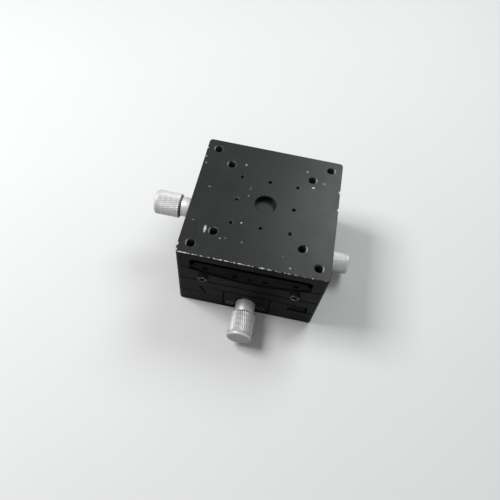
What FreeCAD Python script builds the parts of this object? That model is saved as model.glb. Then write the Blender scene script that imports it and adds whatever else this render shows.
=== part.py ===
import FreeCAD, Part
import math
import os

import Sketcher
from FreeCAD import Placement, Rotation, Vector

# A two-axis goniometer: two tilting units of the same design, one on the other and a quarter turn
# apart, which share one tilt centre above the table. Millimetres, +Z up, origin at the middle of
# the foot. Each unit is drawn lying along X, with its knob at -X and its gib at -Y.

SIZES = {
    # plates
    "plate_side": 60,
    "unit_height": 20,
    "corner_radius": 1.5,
    "centre_rise": 70,
    "upper_seam_rise": 5.2,
    "lower_seam_rise": 5.2,
    "upper_tilt_limit": 10,
    "lower_tilt_limit": 8,
    # arc dovetail, its gib and its gaps
    "dovetail_rise": 4.7,
    "dovetail_width": 41,
    "flank_run": 2.7,
    "slide_gap": 0.05,
    "seam_gap": 0.4,
    "ceiling_gap": 0.3,
    "skirt_wall": 4.1,
    "gib_length": 59,
    "gib_back_gap": 0.35,
    "gib_top_gap": 0.4,
    "gib_screw_step": 12.2,
    "gib_screw_sink": 0.8,
    "gib_screw_socket": 0.75,
    # shallow recess in the gib side of each table
    "recess_width": 49,
    "recess_drop": 4,
    "recess_depth": 0.8,
    "recess_radius": 2,
    # holes of the tables
    "corner_pitch": 50,
    "corner_floor": 0.5,
    "inner_pitch": 35.36,
    "inner_depth": 5.5,
    "small_step": 12,
    "small_depth": 3.5,
    "centre_radius": 4.4,
    "centre_depth": 2.5,
    "tap_chamfer": 0.4,
    "small_chamfer": 0.2,
    # a tapped hole and the screw in it are drawn at the core of the thread, except that the
    # stacking screws and their holes are drawn at the full thread
    "m4_radius": 2,
    "m4_core": 1.65,
    "m3_core": 1.25,
    "m25_core": 1.02,
    "m2_core": 0.8,
    "thread_gap": 0.02,
    # screws in general: room round a sunk head, and how deep the hexagon goes as a share
    "head_gap": 0.1,
    "cap_socket_share": 0.6,
    "set_socket_share": 0.5,
    # foot holes and the screws that join the two units
    "foot_hole_radius": 2.25,
    "foot_pocket_radius": 3.75,
    "foot_floor": 3,
    "stack_head_radius": 3.5,
    "stack_head_height": 3.8,
    "stack_tip_gap": 0.58,
    "stack_socket": 1.73,
    # small low-head screws in the front of the upper base
    "side_screw_pitch": 38.2,
    "side_screw_rise": 3.5,
    "side_screw_length": 5,
    "side_head_radius": 2.15,
    "side_head_height": 1.3,
    "side_socket": 1.15,
    # worm and toothed sector
    "tooth_module": 0.8,
    "tooth_root_depth": 0.96,
    "tooth_backlash": 0.15,
    "pressure_angle": 20,
    "worm_pitch_radius": 3,
    "worm_length": 13,
    "worm_thread_sink": 0.2,
    "upper_worm_rise": 7,
    "lower_worm_rise": 7.8,
    "sector_width": 6,
    "sector_depth": 4,
    "sector_length": 52,
    "sector_gap": 0.4,
    "sector_side_gap": 0.5,
    "sector_screw_inset": 3.5,
    "sector_screw_seat": 2,
    "sector_screw_cover": 1.4,
    "sector_head_radius": 1.9,
    "sector_head_height": 1.2,
    "sector_socket": 0.75,
    # bearings of the worm shaft
    "block_width": 20,
    "block_depth": 6,
    "block_drop": 6,
    "block_gap": 0.3,
    "block_web": 0.8,
    "block_screw_pitch": 14,
    "block_screw_drop": 3.4,
    "block_screw_length": 9,
    "block_head_radius": 1.9,
    "block_head_height": 2,
    "block_socket": 0.87,
    "bore_gap": 0.5,
    "journal_radius": 2,
    "running_gap": 0.02,
    "bush_radius": 3,
    "bush_flange_radius": 3.8,
    "bush_flange": 0.8,
    "thrust_washer": 0.5,
    "shaft_collar_radius": 3.2,
    "shaft_collar": 2,
    "end_float": 0.05,
    "rear_bush_start": 12,
    "rear_bush_length": 6,
    "rear_bush_radius": 2.2,
    "rear_journal_radius": 1.25,
    # knobs of the worm shafts
    "knob_washer_radius": 3.9,
    "knob_washer": 0.4,
    "hub_radius": 4.25,
    "hub_length": 5,
    "hub_groove_radius": 3.8,
    "hub_groove": 0.4,
    "grip_radius": 5.3,
    "grip_length": 11,
    "grip_chamfer": 0.5,
    "grip_end_wall": 3.5,
    "fit_gap": 0.01,
    "knob_screw_inset": 2.2,
    "knob_screw_socket": 0.75,
    # stop pins
    "stop_radius": 1.25,
    "stop_offset": 12,
    "stop_rise": 1.5,
    "stop_sink": 4,
    "stop_margin": 0.3,
    # clamp knob of the lower unit
    "clamp_pad_length": 1.1,
    "clamp_hub_radius": 3,
    "clamp_hub_start": 0.6,
    "clamp_hub_length": 2.9,
    "clamp_grip_radius": 4.9,
    "clamp_grip_length": 9,
    "clamp_stud_end": 2.5,
}

NEAR = 1e-4

doc = FreeCAD.newDocument("two_axis_goniometer")
sheet = doc.addObject("Spreadsheet::Sheet", "sizes")
for row, (alias, number) in enumerate(SIZES.items(), start=1):
    sheet.set("A%d" % row, alias)
    sheet.set("B%d" % row, str(number))
    sheet.setAlias("B%d" % row, alias)
doc.recompute()


class Size:
    """A number together with the spreadsheet expression that gives it."""

    def __init__(self, value, text):
        self.value = float(value)
        self.text = text

    def __add__(self, other):
        other = as_size(other)
        return Size(self.value + other.value, "(%s + %s)" % (self.text, other.text))

    def __radd__(self, other):
        return as_size(other) + self

    def __sub__(self, other):
        other = as_size(other)
        return Size(self.value - other.value, "(%s - %s)" % (self.text, other.text))

    def __rsub__(self, other):
        return as_size(other) - self

    def __mul__(self, other):
        other = as_size(other)
        return Size(self.value * other.value, "(%s * %s)" % (self.text, other.text))

    def __rmul__(self, other):
        return as_size(other) * self

    def __truediv__(self, other):
        other = as_size(other)
        return Size(self.value / other.value, "(%s / %s)" % (self.text, other.text))

    def __neg__(self):
        return Size(-self.value, "(-%s)" % self.text)


def as_size(thing):
    return thing if isinstance(thing, Size) else Size(thing, repr(float(thing)))


def root(size):
    return Size(math.sqrt(size.value), "sqrt(%s)" % size.text)


def arc_drop(radius, across):
    """How far below its centre an arc of this radius is, this far to the side."""
    return root(radius * radius - across * across)


def named(alias):
    return Size(sheet.get(alias), "sizes.%s" % alias)


class Names:
    """Every named size as an attribute, and the lengths that several pieces share."""

    def __init__(self):
        for alias in SIZES:
            setattr(self, alias, named(alias))
        self.half = self.plate_side / 2
        self.gib_wall = self.half - self.skirt_wall
        self.flank_slope = self.flank_run / self.dovetail_rise
        self.tooth_step = self.tooth_module * math.pi
        self.worm_tip_radius = self.worm_pitch_radius + self.tooth_module
        self.bore_radius = self.worm_tip_radius + self.bore_gap
        self.block_back = self.block_depth - self.half
        self.groove_half = self.sector_width / 2 + self.sector_side_gap
        self.hub_start = self.knob_washer + self.end_float
        self.sector_screw_place = self.sector_length / 2 - self.sector_screw_inset
        self.block_screw_place = self.block_screw_pitch / 2
        self.side_screw_place = self.side_screw_pitch / 2


s = Names()


class Unit:
    """One tilting unit: its name, where it stands and the radii about its tilt centre."""

    def __init__(self, name, level, heading, seam_rise, worm_rise, tilt_limit):
        self.name = name
        self.level = level
        self.heading = heading
        self.tilt_limit = tilt_limit
        self.axis = worm_rise
        self.centre = s.centre_rise + 2 * s.unit_height - level
        self.seam = self.centre - seam_rise
        self.shoulder = self.seam + s.seam_gap
        self.crown = self.seam - s.dovetail_rise
        self.ceiling = self.crown - s.ceiling_gap
        self.middle = (self.seam + self.crown) / 2
        self.pitch_radius = self.centre - worm_rise - s.worm_pitch_radius
        self.tip = self.pitch_radius + s.tooth_module
        self.back = self.tip - s.sector_depth
        self.groove = self.tip + s.sector_gap

    def flank(self, radius, gap=0):
        """Half width of the dovetail at this radius, with a gap beside it."""
        return s.dovetail_width / 2 - s.flank_slope * (radius - self.crown) + gap

    def sector_seat(self):
        """Level where the heads of the sector's screws seat."""
        return self.centre - arc_drop(self.back, s.sector_screw_place) - s.sector_screw_seat

    def place(self, thing):
        thing.Placement = Placement(
            Vector(0, 0, self.level.value), Rotation(Vector(0, 0, 1), self.heading)
        )
        thing.setExpression("Placement.Base.z", self.level.text)


UPPER = Unit("upper", s.unit_height, 0, s.upper_seam_rise, s.upper_worm_rise, s.upper_tilt_limit)
LOWER = Unit("lower", as_size(0), 90, s.lower_seam_rise, s.lower_worm_rise, s.lower_tilt_limit)

PLANES = {"top": "XY_Plane", "side": "XZ_Plane", "end": "YZ_Plane"}


def new_body(unit, name):
    body = doc.addObject("PartDesign::Body", "%s_%s" % (unit.name, name))
    body.Label = "%s_%s" % (unit.name, name)
    unit.place(body)
    return body


def sketch_on(body, name, plane, up, out):
    """An empty sketch on one of the body's own planes, raised along its y and out along its normal."""
    origin_plane = [f for f in body.Origin.OriginFeatures if f.Role == PLANES[plane]][0]
    sketch = body.newObject("Sketcher::SketchObject", "%s_%s" % (body.Name, name))
    sketch.AttachmentSupport = (origin_plane, [""])
    sketch.MapMode = "FlatFace"
    for axis, offset in (("y", up), ("z", out)):
        sketch.setExpression("AttachmentOffset.Base." + axis, as_size(offset).text)
    return sketch


def bind_constraint(sketch, kind, where, size):
    number = sketch.addConstraint(Sketcher.Constraint(kind, *where, size.value))
    sketch.setExpression("Constraints[%d]" % number, size.text)


def draw_polygons(body, name, plane, polygons, up=0, out=0):
    """Closed outlines whose corners are (x, y) sizes."""
    sketch = sketch_on(body, name, plane, up, out)
    for corners in polygons:
        corners = [(as_size(x), as_size(y)) for x, y in corners]
        points = [Vector(x.value, y.value, 0) for x, y in corners]
        first = sketch.GeometryCount
        for start, end in zip(points, points[1:] + points[:1]):
            sketch.addGeometry(Part.LineSegment(start, end), False)
        count = len(points)
        for number in range(count):
            following = first + (number + 1) % count
            sketch.addConstraint(Sketcher.Constraint("Coincident", first + number, 2, following, 1))
        for number, (x, y) in enumerate(corners):
            bind_constraint(sketch, "DistanceX", (-1, 1, first + number, 1), x)
            bind_constraint(sketch, "DistanceY", (-1, 1, first + number, 1), y)
    return sketch


def draw_circles(body, name, plane, circles, up=0, out=0):
    """Circles given as (x, y, radius) sizes."""
    sketch = sketch_on(body, name, plane, up, out)
    for x, y, radius in circles:
        x, y, radius = as_size(x), as_size(y), as_size(radius)
        circle = Part.Circle(Vector(x.value, y.value, 0), Vector(0, 0, 1), radius.value)
        number = sketch.addGeometry(circle, False)
        bind_constraint(sketch, "DistanceX", (-1, 1, number, 3), x)
        bind_constraint(sketch, "DistanceY", (-1, 1, number, 3), y)
        bind_constraint(sketch, "Radius", (number,), radius)
    return sketch


def rectangle(x0, x1, y0, y1):
    return [(x0, y0), (x1, y0), (x1, y1), (x0, y1)]


def mirrored(polygon):
    return [(-as_size(x), y) for x, y in reversed(polygon)]


def add_feature(body, kind, name, profile):
    feature = body.newObject("PartDesign::" + kind, "%s_%s" % (body.Name, name))
    feature.Profile = profile
    return feature


def pad(body, name, profile, length, symmetric=False):
    feature = add_feature(body, "Pad", name, profile)
    feature.setExpression("Length", as_size(length).text)
    feature.SideType = "Symmetric" if symmetric else "One side"
    doc.recompute()
    return feature


def pocket(body, name, profile, length, reverse=False):
    """Cuts against the sketch's normal, or along it where reversed."""
    before = body.Shape.Volume
    feature = add_feature(body, "Pocket", name, profile)
    feature.setExpression("Length", as_size(length).text)
    feature.Reversed = reverse
    doc.recompute()
    report_cut(feature, before, body.Shape.Volume)
    return feature


def turned(body, kind, name, profile, angle=None):
    """Adds or cuts by turning an outline about the sketch's own level axis."""
    feature = add_feature(body, kind, name, profile)
    feature.ReferenceAxis = (profile, ["H_Axis"])
    feature.Angle = 360
    if angle is not None:
        feature.Midplane = True
        feature.setExpression("Angle", angle.text)
    doc.recompute()
    return feature


def groove(body, name, profile, angle=None):
    before = body.Shape.Volume
    feature = turned(body, "Groove", name, profile, angle)
    report_cut(feature, before, body.Shape.Volume)
    return feature


def report_cut(feature, before, after):
    if after >= before - NEAR:
        print("cuts nothing:", feature.Name)


def edge_names(shape, wanted):
    return ["Edge%d" % (n + 1) for n, edge in enumerate(shape.Edges) if wanted(edge)]


def soften(body, kind, name, wanted, size):
    """A fillet or chamfer on the edges of the body that a test picks."""
    tip = body.Tip
    names = edge_names(tip.Shape, wanted)
    feature = body.newObject("PartDesign::" + kind, "%s_%s" % (body.Name, name))
    feature.Base = (tip, names)
    feature.setExpression("Radius" if kind == "Fillet" else "Size", size.text)
    doc.recompute()
    return feature


def is_upright(edge):
    start, end = edge.Vertexes[0].Point, edge.Vertexes[-1].Point
    return edge.Curve.TypeId == "Part::GeomLine" and (start - end).cross(Vector(0, 0, 1)).Length < NEAR


def at_corner(edge):
    middle = edge.CenterOfMass
    reach = s.half.value - NEAR
    return is_upright(edge) and abs(middle.x) > reach and abs(middle.y) > reach


def is_mouth(edge, radius, level):
    if edge.Curve.TypeId != "Part::GeomCircle" or not edge.Closed:
        return False
    same_radius = abs(edge.Curve.Radius - radius.value) < NEAR
    return same_radius and abs(edge.CenterOfMass.z - level.value) < NEAR


# Where the holes are


def square(pitch, radius):
    half = pitch / 2
    return [(x, y, radius) for x in (-half, half) for y in (-half, half)]


def ring_of_eight(step, radius):
    """The corners of a square two steps wide and the middles of its sides."""
    middles = [(-step, 0, radius), (step, 0, radius), (0, -step, radius), (0, step, radius)]
    return square(2 * step, radius) + middles


# Places along the gib: four gib screws, and one screw or clamp in the middle
GIB_PLACES = [s.gib_screw_step * steps for steps in (-1.5, -0.5, 0.5, 1.5)]
GIB_MIDDLE = as_size(0)


def below_centre(unit, across):
    """How far below the tilt centre the screws of the gib lie, half way up the gib on its arc."""
    return arc_drop(unit.middle, across)


# Tables and bases


def make_table(unit):
    """The plate that tilts: an arc channel below, tapped holes above."""
    body = new_body(unit, "table")
    outline = draw_polygons(body, "outline", "top", [rectangle(-s.half, s.half, -s.half, s.half)])
    pad(body, "block", outline, s.unit_height)
    soften(body, "Fillet", "corners", at_corner, s.corner_radius)

    below = rectangle(-s.plate_side, s.plate_side, -unit.seam - s.unit_height, -unit.seam)
    groove(body, "underside", draw_polygons(body, "below", "end", [below], up=unit.centre))

    past_seam = unit.seam + s.dovetail_rise
    flank_gap = s.slide_gap
    channel = [
        (unit.flank(unit.ceiling, flank_gap), -unit.ceiling),
        (unit.flank(past_seam, flank_gap), -past_seam),
        (-s.gib_wall, -past_seam),
        (-s.gib_wall, -unit.ceiling),
    ]
    groove(body, "channel", draw_polygons(body, "channel_outline", "end", [channel], up=unit.centre))

    seat_half = s.sector_width / 2 + s.fit_gap
    seat = rectangle(-seat_half, seat_half, -unit.seam, -unit.back)
    seat_angle = (s.sector_length + 2 * s.fit_gap) / unit.tip * (180 / math.pi)
    seat_sketch = draw_polygons(body, "sector_seat_outline", "end", [seat], up=unit.centre)
    groove(body, "sector_seat", seat_sketch, angle=seat_angle)

    slot_half = s.stop_radius + s.stop_margin
    slot_top = unit.crown - s.stop_rise - s.stop_margin
    slot = rectangle(s.stop_offset - slot_half, s.stop_offset + slot_half, -unit.seam, -slot_top)
    slot_angle = 2 * (unit.tilt_limit + slot_half / unit.crown * (180 / math.pi))
    slot_sketch = draw_polygons(body, "stop_slot_outline", "end", [slot], up=unit.centre)
    groove(body, "stop_slot", slot_sketch, angle=slot_angle)

    make_table_holes(unit, body)
    make_skirt_holes(unit, body)
    hole_end = s.unit_height - s.sector_screw_cover + s.thread_gap
    screws = [(x, 0, s.m2_core) for x in (-s.sector_screw_place, s.sector_screw_place)]
    screw_sketch = draw_circles(body, "sector_screw_outline", "top", screws, out=hole_end)
    pocket(body, "sector_screw_holes", screw_sketch, hole_end - unit.sector_seat())


def corner_hole(unit):
    """Radius of the table's corner holes: tapped above, at the full thread where screws fill them."""
    return s.m4_core if unit is UPPER else s.m4_radius


def corner_depth(unit):
    """Depth of the table's corner holes, which end just above the room of the gib."""
    room_above = arc_drop(unit.ceiling, s.corner_pitch / 2 + corner_hole(unit))
    return s.unit_height - (unit.centre - room_above) - s.corner_floor


def make_table_holes(unit, body):
    """Tapped holes and the centre bore."""
    top = s.unit_height
    corner_radius = corner_hole(unit)
    corner = draw_circles(body, "corner_outline", "top", square(s.corner_pitch, corner_radius), out=top)
    pocket(body, "corner_holes", corner, corner_depth(unit))
    inner = draw_circles(body, "inner_outline", "top", square(s.inner_pitch, s.m4_core), out=top)
    pocket(body, "inner_holes", inner, s.inner_depth)
    small = draw_circles(body, "small_outline", "top", ring_of_eight(s.small_step, s.m2_core), out=top)
    pocket(body, "small_holes", small, s.small_depth)
    centre = draw_circles(body, "centre_outline", "top", [(0, 0, s.centre_radius)], out=top)
    pocket(body, "centre_bore", centre, s.centre_depth)

    def is_tap_mouth(edge):
        return is_mouth(edge, s.m4_core, top) or is_mouth(edge, corner_radius, top)

    soften(body, "Chamfer", "tap_mouths", is_tap_mouth, s.tap_chamfer)
    soften(body, "Chamfer", "small_mouths", lambda e: is_mouth(e, s.m2_core, top), s.small_chamfer)
    soften(body, "Chamfer", "centre_mouth", lambda e: is_mouth(e, s.centre_radius, top), s.small_chamfer)


def make_skirt_holes(unit, body):
    """The shallow recess on the gib side and the tapped holes that open in it."""
    half_width = s.recess_width / 2
    recess = rectangle(-half_width, half_width, -unit.centre, s.unit_height - s.recess_drop - unit.centre)
    sketch = draw_polygons(body, "recess_outline", "side", [recess], up=unit.centre, out=s.half)
    pocket(body, "recess", sketch, s.recess_depth)

    def is_recess_corner(edge):
        middle = edge.CenterOfMass
        level = s.unit_height.value - s.recess_drop.value
        return (
            edge.Curve.TypeId == "Part::GeomLine"
            and abs(middle.z - level) < NEAR
            and abs(abs(middle.x) - half_width.value) < NEAR
            and middle.y < -s.gib_wall.value
        )

    soften(body, "Fillet", "recess_corners", is_recess_corner, s.recess_radius)
    holes = [(x, -below_centre(unit, x), s.m3_core) for x in GIB_PLACES + [GIB_MIDDLE]]
    sketch = draw_circles(body, "gib_screw_outline", "side", holes, up=unit.centre, out=s.half)
    pocket(body, "gib_screw_holes", sketch, s.skirt_wall)


def make_base(unit):
    """The plate below: a male arc dovetail, split along the middle for the worm and the sector."""
    body = new_body(unit, "base")
    outline = draw_polygons(body, "outline", "top", [rectangle(-s.half, s.half, -s.half, s.half)])
    pad(body, "block", outline, s.unit_height)
    soften(body, "Fillet", "corners", at_corner, s.corner_radius)

    above = rectangle(-s.plate_side, s.plate_side, -unit.crown, s.unit_height - unit.crown)
    groove(body, "crown", draw_polygons(body, "above", "end", [above], up=unit.centre))

    past_crown = unit.crown - s.dovetail_rise
    shoulder = [
        (unit.flank(unit.shoulder), -unit.shoulder),
        (s.plate_side, -unit.shoulder),
        (s.plate_side, -past_crown),
        (unit.flank(past_crown), -past_crown),
    ]
    shoulders = [shoulder, mirrored(shoulder)]
    groove(body, "shoulders", draw_polygons(body, "shoulder_outline", "end", shoulders, up=unit.centre))

    track = rectangle(-s.groove_half, s.groove_half, -unit.groove, s.unit_height - unit.groove)
    groove(body, "sector_track", draw_polygons(body, "track_outline", "end", [track], up=unit.centre))

    slot_half = s.block_width / 2 + s.block_gap
    slot = rectangle(-slot_half, slot_half, s.block_web, s.unit_height)
    sketch = draw_polygons(body, "block_slot_outline", "end", [slot], out=-s.half)
    pocket(body, "block_slot", sketch, s.block_depth, reverse=True)

    worm_bore = draw_circles(body, "worm_outline", "end", [(0, unit.axis, s.bore_radius)], out=-s.half)
    pocket(body, "worm_bore", worm_bore, s.half + s.rear_bush_start, reverse=True)
    rear_circle = [(0, unit.axis, s.rear_bush_radius)]
    rear_seat = draw_circles(body, "rear_outline", "end", rear_circle, out=-s.half)
    rear_depth = s.half + s.rear_bush_start + s.rear_bush_length
    pocket(body, "rear_seat", rear_seat, rear_depth, reverse=True)

    height = unit.axis - s.block_screw_drop
    screws = [(y, height, s.m2_core) for y in (-s.block_screw_place, s.block_screw_place)]
    sketch = draw_circles(body, "block_screw_outline", "end", screws, out=-s.half)
    depth = s.block_head_height + s.block_screw_length + s.thread_gap
    pocket(body, "block_screw_holes", sketch, depth, reverse=True)

    holes = square(s.corner_pitch, s.foot_hole_radius)
    foot = draw_circles(body, "foot_outline", "top", holes, out=s.unit_height)
    pocket(body, "foot_holes", foot, s.unit_height)
    heads = square(s.corner_pitch, s.foot_pocket_radius)
    head_sketch = draw_circles(body, "pocket_outline", "top", heads, out=s.unit_height)
    pocket(body, "foot_pockets", head_sketch, s.unit_height - s.foot_floor)

    pin = [(0, s.stop_offset, s.stop_radius + s.fit_gap)]
    sketch = draw_circles(body, "stop_outline", "top", pin, out=s.unit_height)
    pin_foot = unit.centre - unit.crown - s.stop_sink
    pocket(body, "stop_hole", sketch, s.unit_height - pin_foot)
    if unit is UPPER:
        screws = [(x, s.side_screw_rise, s.m25_core) for x in (-s.side_screw_place, s.side_screw_place)]
        sketch = draw_circles(body, "side_screw_outline", "side", screws, out=s.half)
        pocket(body, "side_screw_holes", sketch, s.side_screw_length + s.thread_gap)


def make_gib(unit):
    """The adjustable strip between the dovetail and the skirt of the table."""
    body = new_body(unit, "gib")
    foot = unit.seam - s.gib_back_gap
    back = s.gib_back_gap - s.gib_wall
    top = unit.ceiling + s.gib_top_gap
    outline = [
        (back, -foot),
        (-unit.flank(foot, s.slide_gap), -foot),
        (-unit.flank(top, s.slide_gap), -top),
        (back, -top),
    ]
    angle = s.gib_length / unit.middle * (180 / math.pi)
    sketch = draw_polygons(body, "outline", "end", [outline], up=unit.centre)
    turned(body, "Revolution", "strip", sketch, angle)


# Bearings, shaft and knob


def make_block(unit):
    """The bearing block let into the end of the base, flush with its dovetail."""
    body = new_body(unit, "bearing_block")
    half = s.block_width / 2
    face = rectangle(-half, half, unit.axis - s.block_drop, s.unit_height)
    pad(body, "block", draw_polygons(body, "outline", "end", [face], out=-s.half), s.block_depth)
    above = rectangle(-s.plate_side, s.plate_side, -unit.crown, s.unit_height - unit.crown)
    groove(body, "crown", draw_polygons(body, "above", "end", [above], up=unit.centre))
    track = rectangle(-s.groove_half, s.groove_half, -unit.groove, s.unit_height - unit.groove)
    groove(body, "sector_track", draw_polygons(body, "track_outline", "end", [track], up=unit.centre))
    bore_circle = [(0, unit.axis, s.bush_radius + s.fit_gap)]
    bore = draw_circles(body, "bore_outline", "end", bore_circle, out=-s.half)
    pocket(body, "bore", bore, s.block_depth, reverse=True)
    height = unit.axis - s.block_screw_drop
    places = (-s.block_screw_place, s.block_screw_place)
    holes = [(y, height, s.m2_core + s.thread_gap) for y in places]
    hole_sketch = draw_circles(body, "hole_outline", "end", holes, out=-s.half)
    pocket(body, "holes", hole_sketch, s.block_depth, reverse=True)
    heads = [(y, height, s.block_head_radius + s.head_gap) for y in places]
    head_sketch = draw_circles(body, "head_outline", "end", heads, out=-s.half)
    pocket(body, "head_pockets", head_sketch, s.block_head_height, reverse=True)


def turned_piece(unit, name, outline):
    """A round piece on the worm's axis, from its half outline in (along X, radius)."""
    body = new_body(unit, name)
    sketch = draw_polygons(body, "outline", "side", [outline], up=unit.axis)
    turned(body, "Revolution", "turning", sketch)
    return body


def make_bearings(unit):
    bore = s.journal_radius + s.running_gap
    flange_face = s.block_back + s.bush_flange
    turned_piece(unit, "front_bush", [
        (-s.half, bore),
        (-s.half, s.bush_radius),
        (s.block_back, s.bush_radius),
        (s.block_back, s.bush_flange_radius),
        (flange_face, s.bush_flange_radius),
        (flange_face, bore),
    ])
    washer_face = flange_face + s.thrust_washer
    washer_bore = s.journal_radius + 2 * s.running_gap
    thrust = rectangle(flange_face, washer_face, washer_bore, s.shaft_collar_radius)
    turned_piece(unit, "thrust_washer", thrust)
    rear_end = s.rear_bush_start + s.rear_bush_length
    rear_bore = s.rear_journal_radius + s.running_gap
    rear = rectangle(s.rear_bush_start, rear_end, rear_bore, s.rear_bush_radius - s.fit_gap)
    turned_piece(unit, "rear_bush", rear)
    face = -s.half
    washer = rectangle(face - s.knob_washer, face, washer_bore, s.knob_washer_radius)
    turned_piece(unit, "knob_washer", washer)


def make_knob(unit):
    """Knurled grip, groove and smooth hub in one piece, with a blind bore for the shaft."""
    hub = -s.half - s.hub_start
    hub_end = hub - s.hub_length
    grip = hub_end - s.hub_groove
    end = grip - s.grip_length
    chamfer = s.grip_chamfer
    bore = s.journal_radius + s.fit_gap
    bore_end = end + s.grip_end_wall
    body = turned_piece(unit, "knob", [
        (hub, bore),
        (hub, s.hub_radius - chamfer / 2),
        (hub - chamfer / 2, s.hub_radius),
        (hub_end, s.hub_radius),
        (hub_end, s.hub_groove_radius),
        (grip, s.hub_groove_radius),
        (grip, s.grip_radius - chamfer),
        (grip - chamfer, s.grip_radius),
        (end + chamfer, s.grip_radius),
        (end, s.grip_radius - chamfer),
        (end, 0),
        (bore_end, 0),
        (bore_end, bore),
    ])
    place = [(hub - s.knob_screw_inset, 0, s.m25_core)]
    sketch = draw_circles(body, "screw_outline", "top", place, out=unit.axis)
    pocket(body, "screw_hole", sketch, s.grip_radius)


def cylinder_x(start, end, radius, height):
    """A plain solid cylinder along X."""
    return Part.makeCylinder(radius, end - start, Vector(start, 0, height), Vector(1, 0, 0))


def tooth_half_width(depth):
    """Half the thickness of a tooth this far above its pitch line."""
    at_pitch = (s.tooth_step.value / 2 - s.tooth_backlash.value) / 2
    return at_pitch - depth * math.tan(math.radians(s.pressure_angle.value))


def make_worm_thread(unit):
    """A right-handed thread about X whose crest is straight above the middle of the axis."""
    step = s.tooth_step.value
    pitch_radius = s.worm_pitch_radius.value
    outer = s.worm_tip_radius.value
    root_depth = s.tooth_root_depth.value
    sunk = root_depth + s.worm_thread_sink.value
    turns = math.ceil(s.worm_length.value / step / 2) + 1
    helix = Part.makeHelix(step, 2 * turns * step, pitch_radius)
    crest = tooth_half_width(outer - pitch_radius)
    foot = tooth_half_width(-sunk)
    corners = [
        Vector(outer, 0, -crest),
        Vector(outer, 0, crest),
        Vector(pitch_radius - sunk, 0, foot),
        Vector(pitch_radius - sunk, 0, -foot),
    ]
    section = Part.makePolygon(corners + corners[:1])
    thread = Part.Wire(helix.Edges).makePipeShell([section], True, True)
    thread.translate(Vector(0, 0, -turns * step))
    onto_axis = Placement(Vector(0, 0, unit.axis.value), Rotation(Vector(1, 0, 1), 180))
    thread.Placement = onto_axis * thread.Placement
    half = s.worm_length.value / 2
    trim = cylinder_x(-half, half, outer * 2, unit.axis.value)
    return thread.common(trim), pitch_radius - root_depth


def make_shaft(unit):
    """Worm, collar and journals in one steel shaft."""
    thread, core = make_worm_thread(unit)
    height = unit.axis.value
    collar_face = (s.block_back + s.bush_flange + s.thrust_washer + s.end_float).value
    collar_end = collar_face + s.shaft_collar.value
    knob_end = s.grip_end_wall - s.half - s.hub_start - s.hub_length - s.hub_groove - s.grip_length
    rear_start = (s.rear_bush_start - s.bore_gap).value
    rear_end = (s.rear_bush_start + s.rear_bush_length - s.bore_gap).value
    lengths = [
        cylinder_x(knob_end.value + s.fit_gap.value, collar_face, s.journal_radius.value, height),
        cylinder_x(collar_face, collar_end, s.shaft_collar_radius.value, height),
        cylinder_x(collar_end, rear_start, core, height),
        cylinder_x(rear_start, rear_end, s.rear_journal_radius.value, height),
    ]
    shaft = lengths[0].multiFuse(lengths[1:] + [thread]).removeSplitter()
    keep_shape(unit, "worm_shaft", shaft)


def keep_shape(unit, name, shape):
    feature = doc.addObject("Part::Feature", "%s_%s" % (unit.name, name))
    feature.Shape = shape
    feature.Label = "%s_%s" % (unit.name, name)
    unit.place(feature)


def make_sector(unit):
    """The toothed arc under the table: slanted tooth spaces that the worm runs in."""
    width = s.sector_width.value
    tip = unit.tip.value
    back = unit.back.value
    centre = Vector(0, 0, unit.centre.value)
    spread = math.degrees(s.sector_length.value / tip)
    down = Vector(0, 0, -1)
    face = Part.Face(Part.makePolygon([
        centre + down * back - Vector(0, width / 2, 0),
        centre + down * back + Vector(0, width / 2, 0),
        centre + down * tip + Vector(0, width / 2, 0),
        centre + down * tip - Vector(0, width / 2, 0),
        centre + down * back - Vector(0, width / 2, 0),
    ]))
    axis = Vector(0, 1, 0)
    face.rotate(centre, axis, -spread / 2)
    sector = face.revolve(centre, axis, spread)

    module = s.tooth_module.value
    pitch_radius = unit.pitch_radius.value
    root_depth = s.tooth_root_depth.value
    root = pitch_radius - root_depth
    step_angle = math.degrees(s.tooth_step.value / pitch_radius)
    at_tip = s.tooth_step.value / 2 - tooth_half_width(module)
    at_root = s.tooth_step.value / 2 - tooth_half_width(-root_depth)
    slope = (at_tip - at_root) / (tip - root)
    past = tip + module
    space = Part.Face(Part.makePolygon([
        Vector(-at_root, -width, -root),
        Vector(at_root, -width, -root),
        Vector(at_root + slope * (past - root), -width, -past),
        Vector(-at_root - slope * (past - root), -width, -past),
        Vector(-at_root, -width, -root),
    ])).extrude(Vector(0, 2 * width, 0))
    once_round = 2 * math.pi * s.worm_pitch_radius.value
    lead_angle = math.degrees(math.atan2(s.tooth_step.value, once_round))
    space.rotate(Vector(0, 0, 0), Vector(0, 0, 1), lead_angle)
    space.translate(centre)
    travel = math.radians(unit.tilt_limit.value) * pitch_radius + s.worm_length.value / 2
    each_side = math.ceil(travel / s.tooth_step.value - 0.5)
    spaces = []
    for number in range(-each_side, each_side + 1):
        tooth_space = space.copy()
        tooth_space.rotate(centre, axis, number * step_angle)
        spaces.append(tooth_space)
    sector = sector.cut(spaces)

    seat = unit.sector_seat()
    hole_radius = s.m2_core.value + s.thread_gap.value
    pocket_radius = s.sector_head_radius.value + s.head_gap.value
    for x in (-s.sector_screw_place.value, s.sector_screw_place.value):
        hole = Part.makeCylinder(hole_radius, s.unit_height.value, Vector(x, 0, 0))
        head = Part.makeCylinder(pocket_radius, seat.value, Vector(x, 0, 0))
        sector = sector.cut([hole, head])
    keep_shape(unit, "sector", sector)


# Fasteners: each lies along its own +Z from the seat of its head, and is then placed


def bound(kind, name, **lengths):
    thing = doc.addObject(kind, name)
    for prop, size in lengths.items():
        thing.setExpression(prop.replace("_", "."), as_size(size).text)
    return thing


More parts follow.
